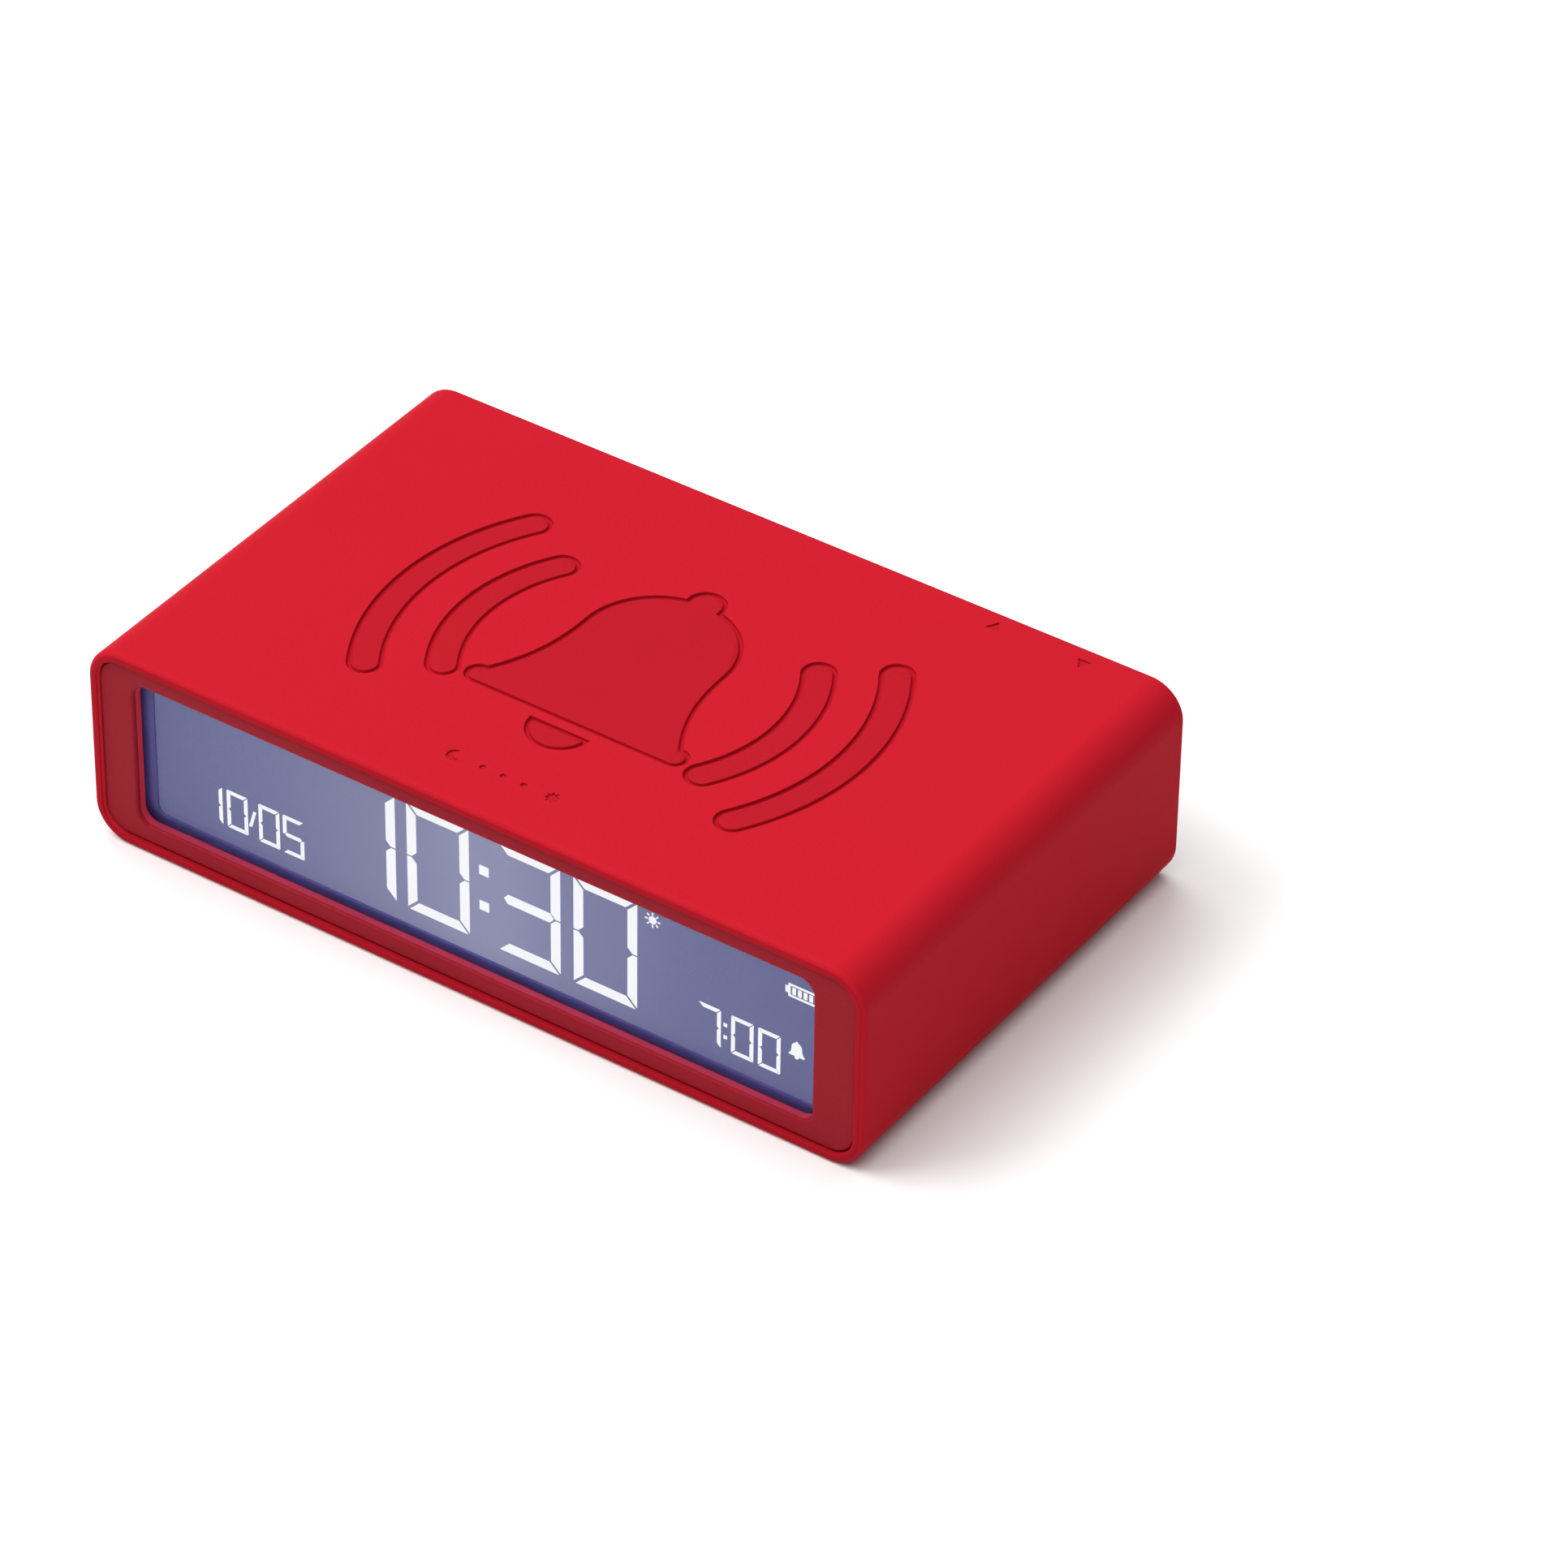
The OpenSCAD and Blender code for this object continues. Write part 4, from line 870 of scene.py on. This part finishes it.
def rear_holes():
    """(outline, stages) of every opening; stages are (outset, depth below the cover's face)."""
    key_edge_r, port_edge_r, pipe_edge_r, sound_edge_r = 0.2, 0.25, 0.08, 0.12
    port_play, pipe_hole_r, sound_hole_r, sound_ring_r, screw_hole_r = 0.3, 1.05, 0.55, 2.3, 0.9
    bottom = [(0, PANEL_T)]
    countersink = [(0.73, 0), (0.66, 0.03), (0.62, 0.10), (0, 0.836)]
    holes = [(circle(x, 0, KEY_HOLE_D / 2, 72), quarter(key_edge_r) + bottom) for x in key_places]
    holes.append((pill(PORT_W + port_play, PORT_H + port_play), quarter(port_edge_r) + bottom))
    holes.append((circle(PIPE_X, 0, pipe_hole_r, 40), quarter(pipe_edge_r, 3) + bottom))
    sound_places = [(0, 0)] + circle(0, 0, sound_ring_r, 6)
    holes += [(circle(SOUNDER_X + x, z, sound_hole_r, 32), quarter(sound_edge_r, 3) + bottom)
              for x, z in sound_places]
    holes += [(circle(side * SCREW_X, 0, screw_hole_r, 40), countersink + bottom) for side in (-1, 1)]
    return holes


def make_rear_cover():
    """Plate with rounded openings for the keys, port, light, sound and screws."""
    bm = bmesh.new()
    face = panel_high.y
    outer = quarter(PANEL_EDGE_R) + [(0, PANEL_T)]
    outer_rings = [ring(bm, panel_outline(inset), xz(face - drop)) for inset, drop in outer]
    bands(bm, outer_rings)
    mouths, backs = [], []
    for outline, stages in rear_holes():
        rings = [ring(bm, grown(outline, outset), xz(face - drop)) for outset, drop in stages]
        bands(bm, rings)
        mouths.append(rings[0])
        backs.append(rings[-1])
    fill(bm, outer_rings[0], mouths, flat=along_y)
    fill(bm, outer_rings[-1], backs, flat=along_y)
    new_piece("rear_cover", bm, [panel_plastic], replaces=["rear_panel"])


def make_key(name, low, high):
    """Key cap with a dish for the finger, a rounded rim, a flange and a stem."""
    bm = bmesh.new()
    x, face = (low.x + high.x) / 2, high.y
    dish_r, dish_rise, dish_steps = 9.0, 8.8, 8     # dish_rise is from the face to the dish's centre
    key_r, flange_r, stem_r = KEY_D / 2, (high.z - low.z) / 2, 1.1
    rim_r, small_r, flange_play = 0.35, 0.06, 0.06
    dish_edge = math.sqrt(dish_r ** 2 - dish_rise ** 2)
    reaches = [dish_edge * i / dish_steps for i in range(dish_steps + 1)]
    dish = [(reach, face + dish_rise - math.sqrt(dish_r ** 2 - reach ** 2)) for reach in reaches]
    rim = [(key_r - outset, face - drop) for outset, drop in quarter(rim_r, 6)]
    flange_y = rear(SEAT_REAR + flange_play)
    flange_end = flange_y - KEY_FLANGE_T
    base = rounded([rim[-1], (key_r, flange_y), (flange_r, flange_y), (flange_r, flange_end),
                    (stem_r, flange_end), (stem_r, low.y), (0, low.y)], small_r)
    lathe(bm, dish + rim + base[1:], x)
    new_piece(name + "_cap", bm, [key_rubber], body=name, replaces=[name])


def make_port_shell():
    """Tube of the port, its mouth rounded over."""
    bm = bmesh.new()
    lip = PORT_WALL / 2
    turn = [math.pi * i / 8 for i in range(9)]
    mouth = [(-lip - lip * math.cos(t), port_high.y - lip * (1 - math.sin(t))) for t in turn]
    stages = [(-PORT_WALL, port_low.y), *mouth, (0, port_low.y)]
    rings = [ring(bm, grown(pill(PORT_W, PORT_H), outset), xz(y)) for outset, y in stages]
    bands(bm, rings, closed=True)
    new_piece("port_shell", bm, [steel], replaces=["usb_shell"])


def make_port_tongue():
    """Base that closes the port, and the blade that stands on it."""
    bm = bmesh.new()
    base_w, base_h = tongue_high.x - tongue_low.x, tongue_high.z - tongue_low.z
    base_t, blade_root, edge, blade_r = 1.6, 0.5, 0.15, 0.18
    bend = ROUND_SHARE * edge
    base_y, tip = tongue_low.y + base_t, tongue_high.y
    prism(bm, [(0, tongue_low.y), (0, base_y - edge), (-edge, base_y)],
          lambda outset: grown(pill(base_w, base_h), outset))
    prism(bm, [(0, base_y - blade_root), (0, tip - edge), (-bend, tip - bend), (-edge, tip)],
          lambda outset: round_rect(TONGUE_W + 2 * outset, TONGUE_T + 2 * outset, blade_r, 4))
    new_piece("port_tongue", bm, [black_plastic], replaces=["usb_tongue"])


def make_port_contacts():
    """Two rows of contacts on the blade, each a little narrower on top."""
    bm = bmesh.new()
    pad_w, pad_l, pad_t, pad_r, pitch, count = 0.26, 3.0, 0.03, 0.08, 0.5, 12
    narrower, shorter = 0.94, 0.99
    middle_y = tongue_high.y - 1.9
    outline = round_rect(pad_w, pad_l, pad_r, 3)
    for side in (-1, 1):
        face_z = MID_Z + side * TONGUE_T / 2
        top_z = face_z + side * pad_t
        for i in range(count):
            x = (i - (count - 1) / 2) * pitch
            foot = [bm.verts.new((x + u, middle_y + v, face_z)) for u, v in outline]
            top = [bm.verts.new((x + u * narrower, middle_y + v * shorter, top_z)) for u, v in outline]
            band(bm, foot, top)
            bm.faces.new(foot)
            bm.faces.new(top)
    new_piece("port_contacts", bm, [gold])


def cross_outline(x, reach, half):
    """Plus-shaped outline about x, anticlockwise; half is half of an arm's width."""
    corner = [(reach, -half), (reach, half), (half, half)]
    points = [point for turns in range(4) for point in turned(corner, 90 * turns)]
    return moved(points, x, 0)


def make_panel_screws():
    """Two countersunk screws with cross recesses."""
    bm = bmesh.new()
    head_r, shank_r, tip_r, face = SCREW_HEAD_D / 2, 0.75, 0.35, screw_high.y
    head_h, tip_h = 0.8, 0.5
    body = [(head_r - 0.12, face), (head_r - 0.03, face - 0.03), (head_r, face - 0.10),
            (shank_r, face - head_h), (shank_r, screw_low.y + tip_h), (tip_r, screw_low.y)]
    recess = [(0.80, 0.20, 0), (0.78, 0.18, 0.03), (0.55, 0.12, 0.40)]      # (reach, half, drop)
    for side in (-1, 1):
        x = side * SCREW_X
        rings = [ring(bm, circle(x, 0, r, 48), xz(y)) for r, y in body]
        bands(bm, rings)
        fill(bm, rings[-1], flat=along_y)
        cuts = [ring(bm, cross_outline(x, reach, half), xz(face - drop)) for reach, half, drop in recess]
        bands(bm, cuts)
        fill(bm, cuts[-1], flat=along_y)
        fill(bm, rings[0], [cuts[0]], flat=along_y)
    new_piece("cover_screws", bm, [steel], replaces=["panel_screws"])


def make_light_pipe():
    """Pin of clear plastic with a domed tip and a flange behind the rear cover."""
    bm = bmesh.new()
    r, flange_r, flange_t = 1.0, (pipe_high.x - pipe_low.x) / 2, 0.6
    dome_h, small_r = 0.3, 0.06
    tip, root = pipe_high.y, pipe_low.y
    turn = [math.pi / 2 * i / 8 for i in range(9)]
    dome = [(r * math.sin(t), tip - dome_h * (1 - math.cos(t))) for t in turn]
    flange_y = rear(SEAT_REAR)
    flange_end = flange_y - flange_t
    base = rounded([(r, tip - dome_h), (r, flange_y), (flange_r, flange_y), (flange_r, flange_end),
                    (r, flange_end), (r, root), (0, root)], small_r)
    lathe(bm, dome + base[1:], PIPE_X, 64)
    new_piece("light_pipe_lens", bm, [clear_plastic], replaces=["light_pipe"])


make_sleeve()
make_bezel()
make_lens()
make_rear_cover()
for key_name, (key_low, key_high) in zip(key_names, key_boxes):
    make_key(key_name, key_low, key_high)
make_port_shell()
make_port_tongue()
make_port_contacts()
make_panel_screws()
make_light_pipe()

# ------------------------------------------------------------------ finishes of the carried-over nodes
FINISHES = {
    foam: ["battery_pad"],
    mask_blue: ["lens_gasket", "cell_seal"],
    display_glass: ["front_polarizer", "front_glass"],
    display_back_glow_and_painted_reflection: ["rear_glass"],
    display_figures: ["display_segments"],
    socket_cream: ["ribbon_socket"],
    reflector_white: ["rear_polarizer", "diffuser_film", "reflector_film"],
    clear_plastic: ["light_guide"],
    board: ["backlight_board", "main_board", "key_board"],
    white_plastic: ["backlight_leds", "display_frame", "battery_plug", "battery_socket", "charge_light"],
    film: ["display_ribbon", "link_ribbon"],
    chip_black: ["clock_chip", "charging_chip"],
    steel: ["quartz_crystal", "tilt_can", "tilt_ball", "board_screws", "switch_covers", "sounder_magnet"],
    part_tan: ["small_chips"],
    black_plastic: ["tilt_base", "chassis", "link_connectors", "switch_bases", "sounder_frame",
                    "sounder_diaphragm", *(name.replace("key", "plunger") for name in key_names)],
    copper: ["touch_foil_top", "touch_foil_bottom", "contact_leaves", "sounder_coil"],
    cell_foil: ["battery_cell"],
    wire_red: ["lead_red"],
    wire_black: ["lead_black"],
}
for finish_material, names in FINISHES.items():
    for node_name in names:
        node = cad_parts[node_name]
        if not node.material_slots:
            node.data.materials.append(finish_material)
        for node_slot in node.material_slots:
            node_slot.material = finish_material

# ------------------------------------------------------------------ floor, light and camera
def make_floor():
    """White square floor at the clock's underside, its size in metres."""
    half = 2.0
    corners = [(-half, -half), (half, -half), (half, half), (-half, half)]
    bm = bmesh.new()
    bm.faces.new([bm.verts.new((x, y, 0)) for x, y in corners])
    mesh = bpy.data.meshes.new("floor")
    bm.to_mesh(mesh)
    bm.free()
    floor = bpy.data.objects.new("floor", mesh)
    bpy.context.scene.collection.objects.link(floor)
    mesh.materials.append(surface("floor_white", (0.88, 0.88, 0.88), vary=0.004, patch=2,
                                  roughness=(0.75, 0.85), grain=(400, 0.01), Specular_IOR_Level=0.1))


def area_light(name, place, size, power):
    """Square soft light that faces the origin; place and size in metres, power in watts."""
    light = bpy.data.lights.new(name, "AREA")
    light.shape = "SQUARE"
    light.size = size
    light.energy = power
    lamp = bpy.data.objects.new(name, light)
    lamp.location = place
    lamp.rotation_mode = "QUATERNION"
    lamp.rotation_quaternion = (-Vector(place)).to_track_quat("-Z", "Y")
    bpy.context.scene.collection.objects.link(lamp)


def make_world(strength):
    """Even white light from all around."""
    world = bpy.data.worlds.new("studio")
    world.use_nodes = True
    background = world.node_tree.nodes["Background"]
    background.inputs["Color"].default_value = (1, 1, 1, 1)
    background.inputs["Strength"].default_value = strength
    bpy.context.scene.world = world


def make_camera(azimuth, elevation, roll, distance, right_shift, up_shift, focal_length):
    """Camera round the middle of the case, angles in degrees, shifts in metres across its view."""
    a, e, r = map(math.radians, (azimuth, elevation, roll))
    back = Vector((math.sin(a) * math.cos(e), -math.cos(a) * math.cos(e), math.sin(e)))
    level = Vector((math.cos(a), math.sin(a), 0))
    upright = back.cross(level)
    across = math.cos(r) * level + math.sin(r) * upright
    up = -math.sin(r) * level + math.cos(r) * upright
    camera = bpy.data.objects.new("camera", bpy.data.cameras.new("camera"))
    camera.data.lens = focal_length
    camera.data.sensor_width = 36
    camera.data.clip_start, camera.data.clip_end = 0.01, 20
    middle = Vector((0, 0, MID_Z * MM))
    place = middle + across * right_shift + up * up_shift + back * distance
    camera.matrix_world = Matrix.Translation(place) @ Matrix((across, up, back)).transposed().to_4x4()
    bpy.context.scene.collection.objects.link(camera)
    bpy.context.scene.camera = camera


make_floor()
area_light("overhead_light", (-0.2, -0.2, 1.5), size=2.6, power=39)
area_light("front_left_light", (-0.75, -0.5, 1.1), size=0.8, power=10)
area_light("back_left_light", (-0.6, 0.55, 1.1), size=0.8, power=3.5)
make_world(0.15)
make_camera(azimuth=33.8955, elevation=37.5786, roll=0.8858, distance=0.67597, right_shift=0.01324,
            up_shift=-0.00212, focal_length=174.67)
bpy.context.scene.view_settings.view_transform = "Standard"
